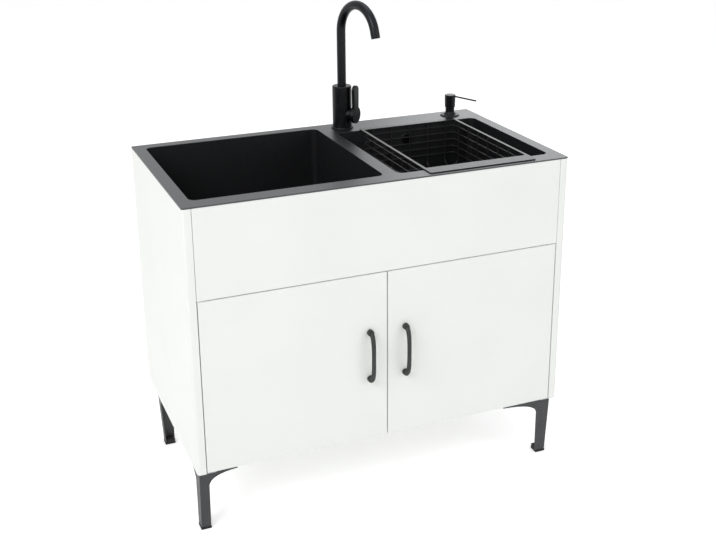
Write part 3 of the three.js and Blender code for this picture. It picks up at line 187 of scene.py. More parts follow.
class SinkUnitPumpSizes(bpy.types.PropertyGroup):
    """Sizes of the soap pump."""
    stem_bore: length("Stem bore", 4.4, "Radius of the collar's bore for the stem")
    collar_radius: length("Collar radius", 11.6, "Radius of the collar above its cone")
    thread_radius: length("Thread radius", 12, "Radius of the collar's thread under the deck")
    cone_radius: length("Cone radius", 16.5, "Radius of the cone on the flange")
    cone_top: length("Cone top", 10, "Top of the cone above the deck")
    cap_radius: length("Cap radius", 14, "Radius of the cap")
    cap_wall: length("Cap wall", 1.8, "Wall of the cap")
    nozzle_radius: length("Nozzle radius", 2, "Radius of the nozzle")
    nozzle_drop: length("Nozzle drop", 5, "From the cap's top down to the nozzle's root")
    nozzle_turn: angle("Nozzle turn", 27, "Direction of the nozzle, from +X to the front")
    nozzle_slope: angle("Nozzle slope", 12, "How far the nozzle points down")
    nozzle_length: length("Nozzle length", 68, "From the pump's axis to the nozzle's tip")


# ---- places from the CAD model

def measured(node):
    """A node's low and high corners, its middle and half its width."""
    low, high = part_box(node)
    return low, high, (low + high) / 2, (high.x - low.x) / 2


def middle(node):
    return measured(node)[2]


def deck_top():
    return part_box("sink_deck")[1].z


def tap_axis():
    return middle("tap_base_ring")


def pump_axis():
    return middle("soap_collar")


# ---- pieces

def linked(name, data):
    """A new object in the scene."""
    thing = bpy.data.objects.new(name, data)
    bpy.context.scene.collection.objects.link(thing)
    return thing


def as_mesh(name, bm):
    mesh = bpy.data.meshes.new(name)
    bm.to_mesh(mesh)
    bm.free()
    return mesh


def make_piece(name, bm, body, slot, *stands_for, look=None, smooth_angle=35):
    """A finished object that rides on its body. It has its slot's finish unless a look is named."""
    bmesh.ops.remove_doubles(bm, verts=bm.verts, dist=MERGE)
    bmesh.ops.recalc_face_normals(bm, faces=bm.faces)
    for face in bm.faces:
        face.smooth = True
    for edge in bm.edges:
        edge.smooth = edge.is_manifold and edge.calc_face_angle(pi) < radians(smooth_angle)
    piece = linked(name, as_mesh(name, bm))
    piece.data.materials.append(finish(look or slot))
    piece.modifiers.new("even shading", "WEIGHTED_NORMAL").keep_sharp = True
    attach(piece, body)
    if stands_for:
        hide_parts(*stands_for)


def dress(node, suffix, bm, slot, body="cabinet", **more):
    """Makes a piece that stands for a CAD node and is named after it."""
    make_piece(f"{node}_{suffix}", bm, body, slot, node, **more)


# ---- mesh tools

def bevel_edges(bm, edges, width, segments=2):
    bmesh.ops.bevel(
        bm, geom=list(edges), offset=width, offset_type="OFFSET", affect="EDGES", segments=segments,
        profile=0.5, material=-1, clamp_overlap=True)


def sharp_edges(bm, least=30):
    return [e for e in bm.edges if e.is_manifold and e.calc_face_angle(0) > radians(least)]


def ease(bm, width, least=30, segments=2):
    """Rounds every edge that is sharper than this many degrees."""
    bevel_edges(bm, sharp_edges(bm, least), width, segments)
    return bm


def edges_along(bm, axis):
    """The edges that run along axis 0, 1 or 2."""
    return [e for e in bm.edges if abs((e.verts[0].co - e.verts[1].co).normalized()[axis]) > 0.99]


def place_in(bm, place):
    bmesh.ops.transform(bm, matrix=place, verts=bm.verts)
    return bm


def block(low, high):
    """A block between two corners."""
    bm = bmesh.new()
    bmesh.ops.create_cube(bm, size=1)
    low, high = Vector(low), Vector(high)
    bmesh.ops.scale(bm, vec=high - low, verts=bm.verts)
    bmesh.ops.translate(bm, vec=(low + high) / 2, verts=bm.verts)
    return bm


def rounded_block(low, high, corner, segments=8, axis=2):
    """A block with rounded corners, seen along an axis."""
    bm = block(low, high)
    bevel_edges(bm, edges_along(bm, axis), corner, segments)
    return bm


def rod(start, end, radius, end_radius=None, sides=48):
    """A cylinder, or a cone, between two points."""
    bm = bmesh.new()
    start, end = Vector(start), Vector(end)
    bmesh.ops.create_cone(
        bm, cap_ends=True, segments=sides, radius1=radius,
        radius2=radius if end_radius is None else end_radius, depth=(end - start).length)
    turn = UP.rotation_difference((end - start).normalized()).to_matrix().to_4x4()
    return place_in(bm, Matrix.Translation((start + end) / 2) @ turn)


def upright(centre, low, high, radius, sides=48):
    """A cylinder that stands on a centre's plan, between two heights."""
    return rod((centre.x, centre.y, low), (centre.x, centre.y, high), radius, sides=sides)


def spokes(number, start=0.0):
    """Level directions, evenly spaced round a circle. The first is this share of a step on."""
    turns = [2 * pi * (i + start) / number for i in range(number)]
    return [Vector((cos(turn), sin(turn), 0)) for turn in turns]


def lathe(profile, centre=Vector(), steps=64):
    """A piece turned about an upright axis, from (radius, height) pairs."""
    bm = bmesh.new()
    points = [bm.verts.new((radius, 0, height)) for radius, height in profile]
    lines = [bm.edges.new(pair) for pair in zip(points, points[1:])]
    bmesh.ops.spin(
        bm, geom=points + lines, cent=(0, 0, 0), axis=UP, dvec=(0, 0, 0), angle=2 * pi, steps=steps,
        use_merge=True, use_duplicate=False)
    bmesh.ops.remove_doubles(bm, verts=bm.verts, dist=MERGE)
    bmesh.ops.recalc_face_normals(bm, faces=bm.faces)
    bmesh.ops.translate(bm, vec=(centre.x, centre.y, 0), verts=bm.verts)
    return bm


def spare_object(bm):
    bmesh.ops.remove_doubles(bm, verts=bm.verts, dist=MERGE)
    bmesh.ops.recalc_face_normals(bm, faces=bm.faces)
    return linked("spare", as_mesh("spare", bm))


def meshed(spare):
    """A bmesh of a spare object with its modifiers. The object is then removed."""
    bpy.context.view_layer.update()
    mesh = bpy.data.meshes.new_from_object(spare.evaluated_get(bpy.context.evaluated_depsgraph_get()))
    bm = bmesh.new()
    bm.from_mesh(mesh)
    bpy.data.meshes.remove(mesh)
    bpy.data.objects.remove(spare)
    return bm


def carved(bm, *tools, operation="DIFFERENCE"):
    """The body with the tools cut from it."""
    body = spare_object(bm)
    others = [spare_object(tool) for tool in tools]
    for other in others:
        cut = body.modifiers.new("cut", "BOOLEAN")
        cut.operation = operation
        cut.solver = "EXACT"
        cut.object = other
    result = meshed(body)
    for other in others:
        bpy.data.objects.remove(other)
    return result


def joined(bm, *others):
    """The shapes as one closed shell."""
    return carved(bm, *others, operation="UNION")


def gathered(shapes):
    """Separate shapes in one bmesh, to be cut at once."""
    bm = bmesh.new()
    for shape in shapes:
        mesh = as_mesh("spare", shape)
        bm.from_mesh(mesh)
        bpy.data.meshes.remove(mesh)
    return bm


def bar_curve(radius, around):
    """An empty curve that its splines make into round bars."""
    curve = bpy.data.curves.new("spare", "CURVE")
    curve.dimensions = "3D"
    curve.bevel_depth = radius
    curve.bevel_resolution = around
    curve.use_fill_caps = True
    return curve


def tube(corners, bend, radius, closed=False, around=6, along=6):
    """A round bar along corner points, each inner corner rounded by an arc."""
    corners = [Vector(c) for c in corners]
    last = len(corners) - 1
    knots = []
    for i, corner in enumerate(corners):
        if not closed and i in (0, last):
            knots.append((corner, corner, corner))
            continue
        back = (corners[i - 1] - corner).normalized()
        ahead = (corners[(i + 1) % len(corners)] - corner).normalized()
        start, end = corner + back * bend, corner + ahead * bend
        knots.append((start, start, start - back * bend * ARC_HANDLE))
        knots.append((end, end - ahead * bend * ARC_HANDLE, end))
    curve = bar_curve(radius, around)
    curve.resolution_u = along
    spline = curve.splines.new("BEZIER")
    spline.bezier_points.add(len(knots) - 1)
    spline.use_cyclic_u = closed
    for point, (place, left, right) in zip(spline.bezier_points, knots):
        point.handle_left_type = point.handle_right_type = "FREE"
        point.co, point.handle_left, point.handle_right = place, left, right
    return meshed(linked("spare", curve))


def from_cad(node):
    """A node's CAD mesh, merged, with its flat faces joined."""
    bm = bmesh.new()
    bm.from_mesh(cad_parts[node].data)
    bmesh.ops.remove_doubles(bm, verts=bm.verts, dist=0.01 * MM)
    bmesh.ops.dissolve_limit(bm, angle_limit=FLAT, verts=bm.verts, edges=bm.edges)
    return bm


def soften(node, slot, width, least=30, body="cabinet"):
    """Dresses a node in its own CAD shape with the sharp edges rounded."""
    dress(node, "fine", ease(from_cad(node), width, least), slot, body)


# ---- materials

SPREAD = (0.3, 0.7)  # the noise values that nearly all of its area lies between
WHITE = (1, 1, 1)
CLOUDS = ("ShaderNodeTexNoise", "Fac")
CRYSTALS = ("ShaderNodeTexVoronoi", "Distance")


def add_node(tree, kind, settings=(), values=(), links=()):
    """Adds a node with its settings, its input values and its links."""
    node = tree.nodes.new(kind)
    for name, value in dict(settings).items():
        setattr(node, name, value)
    for name, value in dict(values).items():
        node.inputs[name].default_value = value
    for name, socket in dict(links).items():
        tree.links.new(socket, node.inputs[name])
    return node


def blots(millimetres, stretch=(1, 1, 1), texture=CLOUDS, **values):
    """A pattern whose blots are about this wide, drawn out along an axis by stretch."""
    return (*texture, stretch, {"Scale": 1 / (millimetres * MM), **values})


def textured(name, base, tones, gloss, relief, values):
    """A material on Object coordinates. Each tone is a pattern, the two shades that it runs between and
    where it meets them. Gloss is a pattern and the roughness at its two ends. Relief is a pattern and its
    depth in millimetres. The values are the same all over and sit on the shader."""
    material = bpy.data.materials.new(name)
    material.use_nodes = True
    tree = material.node_tree
    shader = tree.nodes["Principled BSDF"]
    shader.inputs["Base Color"].default_value = (*base, 1)
    for socket, value in values.items():
        shader.inputs[socket].default_value = value
    place = add_node(tree, "ShaderNodeTexCoord").outputs["Object"]
    sources = {}

    def source(pattern):
        """The pattern's output. A pattern that is used twice is added once."""
        if id(pattern) not in sources:
            kind, output, stretch, texture_values = pattern
            mapping = add_node(
                tree, "ShaderNodeMapping", values={"Scale": tuple(1 / s for s in stretch)},
                links={"Vector": place})
            texture = add_node(
                tree, kind, values=texture_values, links={"Vector": mapping.outputs["Vector"]})
            sources[id(pattern)] = texture.outputs[output]
        return sources[id(pattern)]

    tint = None
    for pattern, shades, stops in tones:
        ramp = add_node(tree, "ShaderNodeValToRGB", links={"Fac": source(pattern)})
        under = WHITE if tint else base
        for element, factor, stop in zip(ramp.color_ramp.elements, shades, stops):
            element.position = stop
            element.color = (*(min(1, level * factor) for level in under), 1)
        if tint:
            # 6 and 7 are a Mix node's two colours in, and 2 is its colour out
            both = add_node(
                tree, "ShaderNodeMix", settings={"data_type": "RGBA", "blend_type": "MULTIPLY"},
                values={"Factor": 1}, links={6: tint, 7: ramp.outputs["Color"]})
            tint = both.outputs[2]
        else:
            tint = ramp.outputs["Color"]
    if tint:
        tree.links.new(tint, shader.inputs["Base Color"])
    if gloss:
        pattern, low, high = gloss
        levels = add_node(
            tree, "ShaderNodeMapRange",
            values={"From Min": SPREAD[0], "From Max": SPREAD[1], "To Min": low, "To Max": high},
            links={"Value": source(pattern)})
        tree.links.new(levels.outputs["Result"], shader.inputs["Roughness"])
    pattern, depth = relief
    bump = add_node(
        tree, "ShaderNodeBump", values={"Strength": 1, "Distance": depth * MM},
        links={"Height": source(pattern)})
    tree.links.new(bump.outputs["Normal"], shader.inputs["Normal"])
    return material


def satin_lacquer(name, base):
    """Two-pack lacquer sprayed on fibreboard: an even satin white with a faint orange peel of about 2 mm
    and broad, barely visible clouds where the coats overlap."""
    return textured(
        name, base, [(blots(180, Detail=3), (0.965, 1), (0.25, 0.75))], (blots(45), 0.36, 0.46),
        (blots(2.2, Detail=1), 0.02), {"IOR": 1.5})


def powder_coat(name, base):
    """Polyester powder baked on steel: a black, slightly grained coat. The real grain is 0.3 mm, drawn at
    0.9 mm so that it shows."""
    return textured(
        name, base, [(blots(30, Detail=4), (0.85, 1.2), SPREAD)], (blots(8), 0.42, 0.56),
        (blots(0.9), 0.05), {"IOR": 1.52})


def brushed_steel(name, base, roughness, grain_mm=0.8, run_mm=90, along="X", contrast=0.1, metallic=1):
    """Steel brushed with an abrasive belt: fine parallel scratches that stretch highlights across them.
    The real scratches are 0.1 mm apart, drawn coarser so that they show."""
    stretch = [1, 1, 1]
    stretch["XYZ".index(along)] = run_mm / grain_mm
    scratches = blots(grain_mm, stretch, Detail=3, Roughness=0.7)
    return textured(
        name, base,
        [(scratches, (1 - contrast, 1 + contrast), SPREAD), (blots(130), (0.94, 1), SPREAD)],
        (scratches, roughness - 0.05, roughness + 0.07), (scratches, 0.012), {"Metallic": metallic})


def plating(name, base, roughness):
    """Electroplated brass with a smoked, satin-bright skin: dark metal that mirrors softly, with faint
    handling marks."""
    marks = blots(14, Detail=4)
    return textured(
        name, base, [(marks, (0.9, 1.12), SPREAD)], (marks, roughness - 0.03, roughness + 0.05),
        (blots(1.5), 0.004), {"Metallic": 1})


def zinc_plate(name, base):
    """Zinc plated steel: a pale blue-grey metal with a patchy, slightly dull bloom."""
    return textured(
        name, base, [(blots(2.5, texture=CRYSTALS), (1.08, 0.82), (0.1, 0.8))], (blots(6), 0.3, 0.5),
        (blots(0.7), 0.01), {"Metallic": 1})


def moulded(name, base, roughness, grain_mm=1.2, depth_mm=0.02, ior=1.49, **more):
    """Injection-moulded plastic or rubber: an even colour with flow clouds and a fine mould texture."""
    return textured(
        name, base, [(blots(25, (1, 1, 2)), (0.93, 1.03), SPREAD)],
        (blots(5), roughness - 0.05, roughness + 0.06), (blots(grain_mm, Detail=1), depth_mm),
        {"IOR": ior, **more})


def frosted_bottle(name, base):
    """Blow-moulded polyethylene: milky and half clear, with a faint orange peel."""
    scatter = {"Subsurface Weight": 0.25, "Subsurface Scale": 4 * MM}
    return moulded(name, base, 0.38, grain_mm=1.8, depth_mm=0.03, ior=1.51, **scatter)


def build_materials(colours):
    """Every finish of the unit, by its slot in the record, and three looks within a slot."""
    return {
        "white_lacquer": satin_lacquer("satin lacquer on fibreboard", colours.lacquer),
        "black_steel": powder_coat("black powder-coated steel", colours.powder),
        "brushed_deck": brushed_steel("dark brushed stainless steel", colours.deck, 0.36),
        # painted shade: the deck's steel, made near-black and less metallic so that the bowls look shaded
        # inside
        "dark_bowl": brushed_steel(
            "deck steel painted dark as shade", colours.bowl, 0.34, grain_mm=0.9, run_mm=60, along="Z",
            contrast=0.16, metallic=0.6),
        "basket_rim": brushed_steel(
            "dark brushed steel flat bar", colours.rim, 0.34, grain_mm=0.7, run_mm=40, along="Y"),
        "basket_wire": powder_coat("black coated steel wire", colours.wire),
        "handle_black": powder_coat("black powder-coated zinc casting", colours.handle),
        "gunmetal": plating("gunmetal plated brass", colours.gunmetal, 0.36),
        "stainless": brushed_steel(
            "satin stainless steel", colours.stainless, 0.3, grain_mm=0.7, run_mm=25, contrast=0.07),
        "zinc_plate": zinc_plate("zinc plated steel", colours.zinc),
        "white_plastic": moulded("white polypropylene", colours.polypropylene, 0.4),
        "black_plastic": moulded("black nylon", colours.nylon, 0.48),
        "clear_plastic": frosted_bottle("frosted polyethylene", colours.bottle),
        "black_rubber": moulded(
            "moulded black rubber", colours.rubber, 0.8, grain_mm=1.5, depth_mm=0.06, ior=1.52),
    }


finishes = {}


def finish(name):
    if not finishes:
        finishes.update(build_materials(bpy.context.scene.sink_unit_finishes))
    return finishes[name]


# ---- stage

CAMERA_PLACE = Vector((-905.3, -2292.8, 1472.9)) * MM
CAMERA_AZIMUTH = radians(-21.689)
CAMERA_ELEVATION = radians(18.828)
CAMERA_ROLL = radians(-0.668)
FOCAL_PIXELS = 1103.5
FRAME_PIXELS = 716
SENSOR_MM = 36
CAMERA_SHIFT = (8 / FRAME_PIXELS, -65 / FRAME_PIXELS)
FLOOR_LIFT = 0.36  # light that the floor gives off to the camera, so that it is white where unshaded
STUDIO_LIGHT = 0.6  # strength of the even light from all sides
SOFTBOXES = (  # name, place and aim in metres, size in metres, watts
    ("key_softbox", (-3.2, -2.2, 3.4), (0, 0, 0.6), (2.4, 2.0), 88),
    ("fill_softbox", (2.8, -3.4, 2.0), (0, 0, 0.5), (2.0, 2.4), 24),
    ("top_softbox", (0.3, 0.6, 3.8), (0, 0, 0.6), (2.2, 1.6), 28),
    ("rear_softbox", (2.2, 2.9, 1.9), (0.3, 0.1, 0.8), (1.5, 1.1), 9),
)


def add_camera():
    turn = Matrix.Rotation(CAMERA_AZIMUTH, 4, "Z") @ Matrix.Rotation(pi / 2 - CAMERA_ELEVATION, 4, "X")
    camera = linked("camera", bpy.data.cameras.new("camera"))
    camera.matrix_world = Matrix.Translation(CAMERA_PLACE) @ turn @ Matrix.Rotation(CAMERA_ROLL, 4, "Z")
    camera.data.sensor_width = SENSOR_MM
    camera.data.lens = FOCAL_PIXELS / FRAME_PIXELS * SENSOR_MM
    camera.data.shift_x, camera.data.shift_y = CAMERA_SHIFT
    camera.data.clip_end = 100
    bpy.context.scene.camera = camera


def add_softbox(name, place, aim, size, watts):
    light = bpy.data.lights.new(name, "AREA")
    light.shape = "RECTANGLE"
    light.size, light.size_y = size
    light.energy = watts
    lamp = linked(name, light)
    lamp.location = place
    lamp.rotation_euler = (Vector(aim) - Vector(place)).to_track_quat("-Z", "Y").to_euler()


def seen_ray(tree):
    """1 on camera, glossy and transmission rays, which see the studio's plain white."""
    path = add_node(tree, "ShaderNodeLightPath")
    seen = path.outputs["Is Camera Ray"]
    for kind in ("Is Glossy Ray", "Is Transmission Ray"):
        seen = add_node(
            tree, "ShaderNodeMath", settings={"operation": "MAXIMUM"},
            links={0: seen, 1: path.outputs[kind]}).outputs[0]
    return seen


def add_world():
    """An even white studio. The camera, glossy and transmission rays see plain white."""
    world = bpy.data.worlds.new("studio")
    world.use_nodes = True
    bpy.context.scene.world = world
    tree = world.node_tree
    tree.nodes.clear()
    light, backdrop = (
        add_node(tree, "ShaderNodeBackground", values={"Color": (*WHITE, 1), "Strength": strength})
        for strength in (STUDIO_LIGHT, 1))
    mixed = add_node(
        tree, "ShaderNodeMixShader",
        links={0: seen_ray(tree), 1: light.outputs[0], 2: backdrop.outputs[0]})
    add_node(tree, "ShaderNodeOutputWorld", links={"Surface": mixed.outputs[0]})


def studio_paper():
    """Matt white studio paper. It takes the shadow, and is lifted to plain white elsewhere."""
    material = textured(
        "white studio paper", linear("FDFDFD"), (), None, (blots(3), 0.02), {"Roughness": 0.9})
    tree = material.node_tree
    amount = add_node(
        tree, "ShaderNodeMath", settings={"operation": "MULTIPLY"}, values={1: FLOOR_LIFT},
        links={0: seen_ray(tree)})
    glow = add_node(tree, "ShaderNodeEmission", links={"Strength": amount.outputs[0]})
    both = add_node(
        tree, "ShaderNodeAddShader",
        links={0: tree.nodes["Principled BSDF"].outputs["BSDF"], 1: glow.outputs[0]})
    tree.links.new(both.outputs[0], tree.nodes["Material Output"].inputs["Surface"])
    return material


class SINKUNIT_OT_stage(bpy.types.Operator):
    """Sets up the floor, the soft lights, the white studio and the camera"""
    bl_idname = "sink_unit.stage"
    bl_label = "Stage"

    def execute(self, context):
        context.scene.view_settings.view_transform = "Standard"
        bm = bmesh.new()
        bmesh.ops.create_grid(bm, x_segments=1, y_segments=1, size=30)
        floor = linked("studio_floor", as_mesh("studio_floor", bm))
        floor.data.materials.append(studio_paper())
        add_world()
        for softbox in SOFTBOXES:
            add_softbox(*softbox)
        add_camera()
        return {"FINISHED"}


# ---- cabinet

def side_board(node, outer_sign, sizes):
    """A side panel, whose outer front corner is well rounded."""
    low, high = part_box(node)
    bm = block(low, high)
    outer_x = high.x if outer_sign > 0 else low.x
    corner = [
        e for e in edges_along(bm, 2)
        if abs(e.verts[0].co.x - outer_x) < MM and abs(e.verts[0].co.y - low.y) < MM]
    bevel_edges(bm, corner, sizes.side_arris, 8)
    dress(node, "board", ease(bm, sizes.board_arris, 60), "white_lacquer")


class SINKUNIT_OT_cabinet(bpy.types.Operator):
    """Builds the side panels, the fascia, the rail, the floor board and the back board"""
    bl_idname = "sink_unit.cabinet"
    bl_label = "Cabinet"

    def execute(self, context):
        sizes = context.scene.sink_unit_cabinet
        side_board("left_side_panel", -1, sizes)
        side_board("right_side_panel", 1, sizes)
        fascia = ease(block(*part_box("front_fascia")), sizes.board_arris)
        dress("front_fascia", "board", fascia, "white_lacquer")
        for node in ("bottom_panel", "back_panel", "front_rail"):
            soften(node, "white_lacquer", sizes.board_arris / 2, 60)
        return {"FINISHED"}


# ---- doors

def bow_handle(node, sizes):
    """Two round feet and a bar that thins to its middle, drawn along a squared arch."""
    low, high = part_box(node)
    centre = middle(node)
    half = sizes.handle_pitch / 2
    bow = high.y - low.y - sizes.handle_waist - MM
    curve = bar_curve(1, 6)
    steps = 40
    spline = curve.splines.new("POLY")
    spline.points.add(steps)
    for i, point in enumerate(spline.points):
        turn = pi * i / steps
        along = abs(cos(turn)) ** sizes.handle_round * (1 if turn < pi / 2 else -1)
        out = sin(turn) ** sizes.handle_round
        thinned = min(i, steps - i) * 2 / steps
        point.co = (centre.x, high.y - MM - bow * out, centre.z + half * along, 1)
        point.radius = sizes.handle_bar + (sizes.handle_waist - sizes.handle_bar) * thinned
    bar = meshed(linked("spare", curve))
    feet = []
    radius, height = sizes.handle_foot, sizes.handle_foot_height
    turn = Matrix.Rotation(pi / 2, 4, "X") @ Matrix.Rotation(radians(4), 4, "Z")
    for offset in (-half, half):
        foot = lathe(
            [(0, 0), (radius, 0), (radius, height / 2), (sizes.handle_bar + MM, height), (0, height)],
            steps=40)
        ease(foot, 0.8 * MM, segments=3)
        feet.append(place_in(foot, Matrix.Translation((centre.x, high.y, centre.z + offset)) @ turn))
    return joined(bar, *feet)


def cross_head_screw(node, body, sizes):
    """A pan-head screw with a cross slot."""
    low, high, centre, radius = measured(node)
    shaft = radius * 0.42
    top = high.y - low.y
    head = sizes.screw_head
    bm = lathe([
        (0, 0), (shaft, 0), (shaft, top - head), (radius, top - head), (radius, top - head * 0.6),
        (radius * 0.55, top), (0, top)], steps=24)
    arm, half, deep = radius * 0.6, 0.5 * MM, top - head * 0.5
    bm = carved(
        bm, block((-arm, -half, deep), (arm, half, top + MM)),
        block((-half, -arm, deep), (half, arm, top + MM)))
    place_in(bm, Matrix.Translation((centre.x, low.y, centre.z)) @ Matrix.Rotation(-pi / 2, 4, "X"))
    dress(node, "head", bm, "zinc_plate", body)


class SINKUNIT_OT_doors(bpy.types.Operator):
    """Builds the doors with their handles, screws, pivots, strike plates and the catch"""
    bl_idname = "sink_unit.doors"
    bl_label = "Doors"

    def execute(self, context):
        sizes = context.scene.sink_unit_cabinet
        for hand in ("left", "right"):
            body = f"{hand}_door"
            handle = f"{hand}_handle"
            soften(body, "white_lacquer", sizes.board_arris / 2, 60, body)
            dress(
                handle, "bow", bow_handle(handle, sizes), "black_steel", body, look="handle_black",
                smooth_angle=50)
            for level in ("upper", "lower"):
                cross_head_screw(f"{handle}_screw_{level}", body, sizes)
            for level in ("top", "bottom"):
                soften(f"{hand}_door_{level}_pivot", "zinc_plate", 0.3 * MM, 50)
            soften(f"{hand}_strike_plate", "zinc_plate", 0.3 * MM, body=body)
        soften("door_catch", "black_plastic", 0.8 * MM)
        return {"FINISHED"}


# ---- legs

def rubber_foot(corner, sizes):
    """A foot's sole and plug, drawn in to the leg's corner so that little of it shows past the steel."""
    node = f"{corner}_foot"
    low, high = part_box(node)
    outer = Vector((
        low.x if corner.endswith("left") else high.x, low.y if corner.startswith("front") else high.y, low.z))
    bm = from_cad(node)
    draw = sizes.foot_draw
    bmesh.ops.scale(bm, vec=(draw, draw, 1), space=Matrix.Translation(-outer), verts=bm.verts)
    plug_top = [v for v in bm.verts if v.co.z > high.z - MM]
    bmesh.ops.translate(bm, vec=(0, 0, -sizes.plug_drop), verts=plug_top)
    dress(node, "fine", ease(bm, 1.2 * MM), "black_rubber")


class SINKUNIT_OT_legs(bpy.types.Operator):
    """Builds the four folded steel legs and their rubber feet"""
    bl_idname = "sink_unit.legs"
    bl_label = "Legs"

    def execute(self, context):
        sizes = context.scene.sink_unit_cabinet
        for corner in ("front_left", "front_right", "rear_right", "rear_left"):
            soften(f"{corner}_leg", "black_steel", sizes.sheet_edge, 40)
            rubber_foot(corner, sizes)
        return {"FINISHED"}


# ---- sink

def bowl_hole(node, sizes):
    """Plan of a bowl's inner walls: low and high corners."""
    low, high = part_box(node)
    flange = Vector((sizes.bowl_flange, sizes.bowl_flange, 0))
    return low + flange, high - flange


def sink_deck(sizes):
    low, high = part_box("sink_deck")
    under, over = low.z - MM, high.z + MM
    tools = []
    for node in ("left_bowl", "right_bowl"):
        hole_low, hole_high = bowl_hole(node, sizes)
        tools.append(rounded_block(
            (hole_low.x, hole_low.y, under), (hole_high.x, hole_high.y, over), sizes.bowl_corner, 12))
    tools.append(upright(tap_axis(), under, over, sizes.tap_hole))
    tools.append(upright(pump_axis(), under, over, sizes.pump_hole))
    bm = carved(rounded_block(low, high, sizes.deck_corner, 6), *tools)
    dress("sink_deck", "sheet", ease(bm, sizes.deck_edge, 60), "brushed_deck")


def basin(low, high, corner, bend):
    """A block with rounded plan corners and a rounded floor."""
    bm = rounded_block(low, high, corner, 10)
    floor = [e for e in bm.edges if all(abs(v.co.z - low[2]) < MM / 10 for v in e.verts)]
    bevel_edges(bm, floor, bend, 8)
    return bm


def pressed_bowl(node, drain, sizes):
    """A bowl drawn from one sheet, with its flange and its drain hole."""
    low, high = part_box(node)
    inner_low, inner_high = bowl_hole(node, sizes)
    wall, corner, bend = sizes.bowl_wall, sizes.bowl_corner, sizes.bowl_bend
    outer = basin(
        (inner_low.x - wall, inner_low.y - wall, low.z),
        (inner_high.x + wall, inner_high.y + wall, high.z - wall / 2), corner + wall, bend + wall)
    flange = rounded_block((low.x, low.y, high.z - wall), high, corner + sizes.bowl_flange, 10)
    tools = [
        basin(
            (inner_low.x, inner_low.y, low.z + wall), (inner_high.x, inner_high.y, high.z + 5 * MM),
            corner, bend),
        upright(drain, low.z - MM, low.z + 5 * MM, sizes.drain_hole, 96)]
    if node == "right_bowl":
        rose = middle("overflow_rose")
        tools.append(rod(
            (rose.x, inner_high.y - 3 * MM, rose.z), (rose.x, inner_high.y + 6 * MM, rose.z),
            sizes.overflow_bore))
    # the bowl's finish is the deck's steel, darkened as painted shade
    dress(node, "pressing", carved(joined(outer, flange), *tools), "dark_bowl")


def overflow_rose():
    """A flat rose with three upright slots, on a neck through the bowl's wall."""
    low, high, centre, radius = measured("overflow_rose")
    thick, rim, neck_radius = 2 * MM, 0.8 * MM, 10.6 * MM
    plate = lathe([(0, 0), (radius, 0), (radius, rim), (radius - 1.6 * MM, thick), (0, thick)])
    ease(plate, 0.3 * MM)
    place = Matrix.Translation((centre.x, low.y + thick, centre.z))
    place_in(plate, place @ Matrix.Rotation(pi / 2, 4, "X"))
    neck = rod((centre.x, low.y + MM, centre.z), (centre.x, high.y, centre.z), neck_radius)
    half_width, half_height = 1.2 * MM, 6 * MM
    slots = []
    for offset in (-6 * MM, 0, 6 * MM):
        x = centre.x + offset
        slots.append(rounded_block(
            (x - half_width, low.y - MM, centre.z - half_height),
            (x + half_width, high.y + MM, centre.z + half_height), half_width * 0.98, 5, axis=1))
    dress("overflow_rose", "plate", carved(joined(plate, neck), *slots), "stainless", look="gunmetal")


def overflow_elbow(sizes):
    """A cup behind the bowl's wall with a barbed spigot that points down."""
    low, high, centre, radius = measured("overflow_elbow")
    x, y, z = centre.x, centre.y + 2 * MM, high.z - radius
    mouth, back, pipe, barb, inside = 17 * MM, 13 * MM, 9 * MM, 9.6 * MM, 6.5 * MM
    cup = ease(rod((x, low.y, z), (x, high.y, z), mouth, back), 1.5 * MM, segments=3)
    hollow = rod((x, low.y - MM, z), (x, high.y - 4 * MM, z), sizes.overflow_bore, pipe)
    spigot = [rod((x, y, low.z), (x, y, z - 4 * MM), pipe, sides=40)]
    for rise in (4, 8, 12, 16):
        foot = low.z + rise * MM
        spigot.append(rod((x, y, foot), (x, y, foot + 3 * MM), barb, pipe, sides=40))
    bore = rod((x, y, low.z - MM), (x, y, z), inside, sides=32)
    dress("overflow_elbow", "moulding", carved(joined(cup, *spigot), hollow, bore), "black_plastic")


class SINKUNIT_OT_sink(bpy.types.Operator):
    """Builds the sink deck, the two bowls and the overflow"""
    bl_idname = "sink_unit.sink"
    bl_label = "Sink"

    def execute(self, context):
        sizes = context.scene.sink_unit_sink
        sink_deck(sizes)
        for hand in ("left", "right"):
            pressed_bowl(f"{hand}_bowl", middle(f"{hand}_drain_body"), sizes)
        overflow_rose()
        overflow_elbow(sizes)
        return {"FINISHED"}


# ---- drains

def drain_body(node, sizes):
    """A cup with a flange over the bowl's floor and a spigot under it."""
    low, high, centre, flange = measured(node)
    floor = high.z - 2.1 * MM
    seat = floor + 0.3 * MM
    cup = sizes.drain_hole - 0.3 * MM
    inner = cup - sizes.drain_wall
    cup_floor = floor - sizes.drain_depth
    cup_under = cup_floor - sizes.drain_wall
    bore = sizes.spigot - 3 * MM
    bm = lathe([
        (bore, low.z), (sizes.spigot, low.z), (sizes.spigot, cup_under), (cup, cup_under),
        (cup, seat), (flange, seat), (flange, floor + 1.2 * MM),
        (flange - 3 * MM, high.z), (inner + 3 * MM, high.z), (inner, floor - sizes.drain_wall),
        (inner, cup_floor), (bore, cup_floor), (bore, low.z)], centre, 96)
    dress(node, "turned", ease(bm, 0.5 * MM, 35), "stainless")


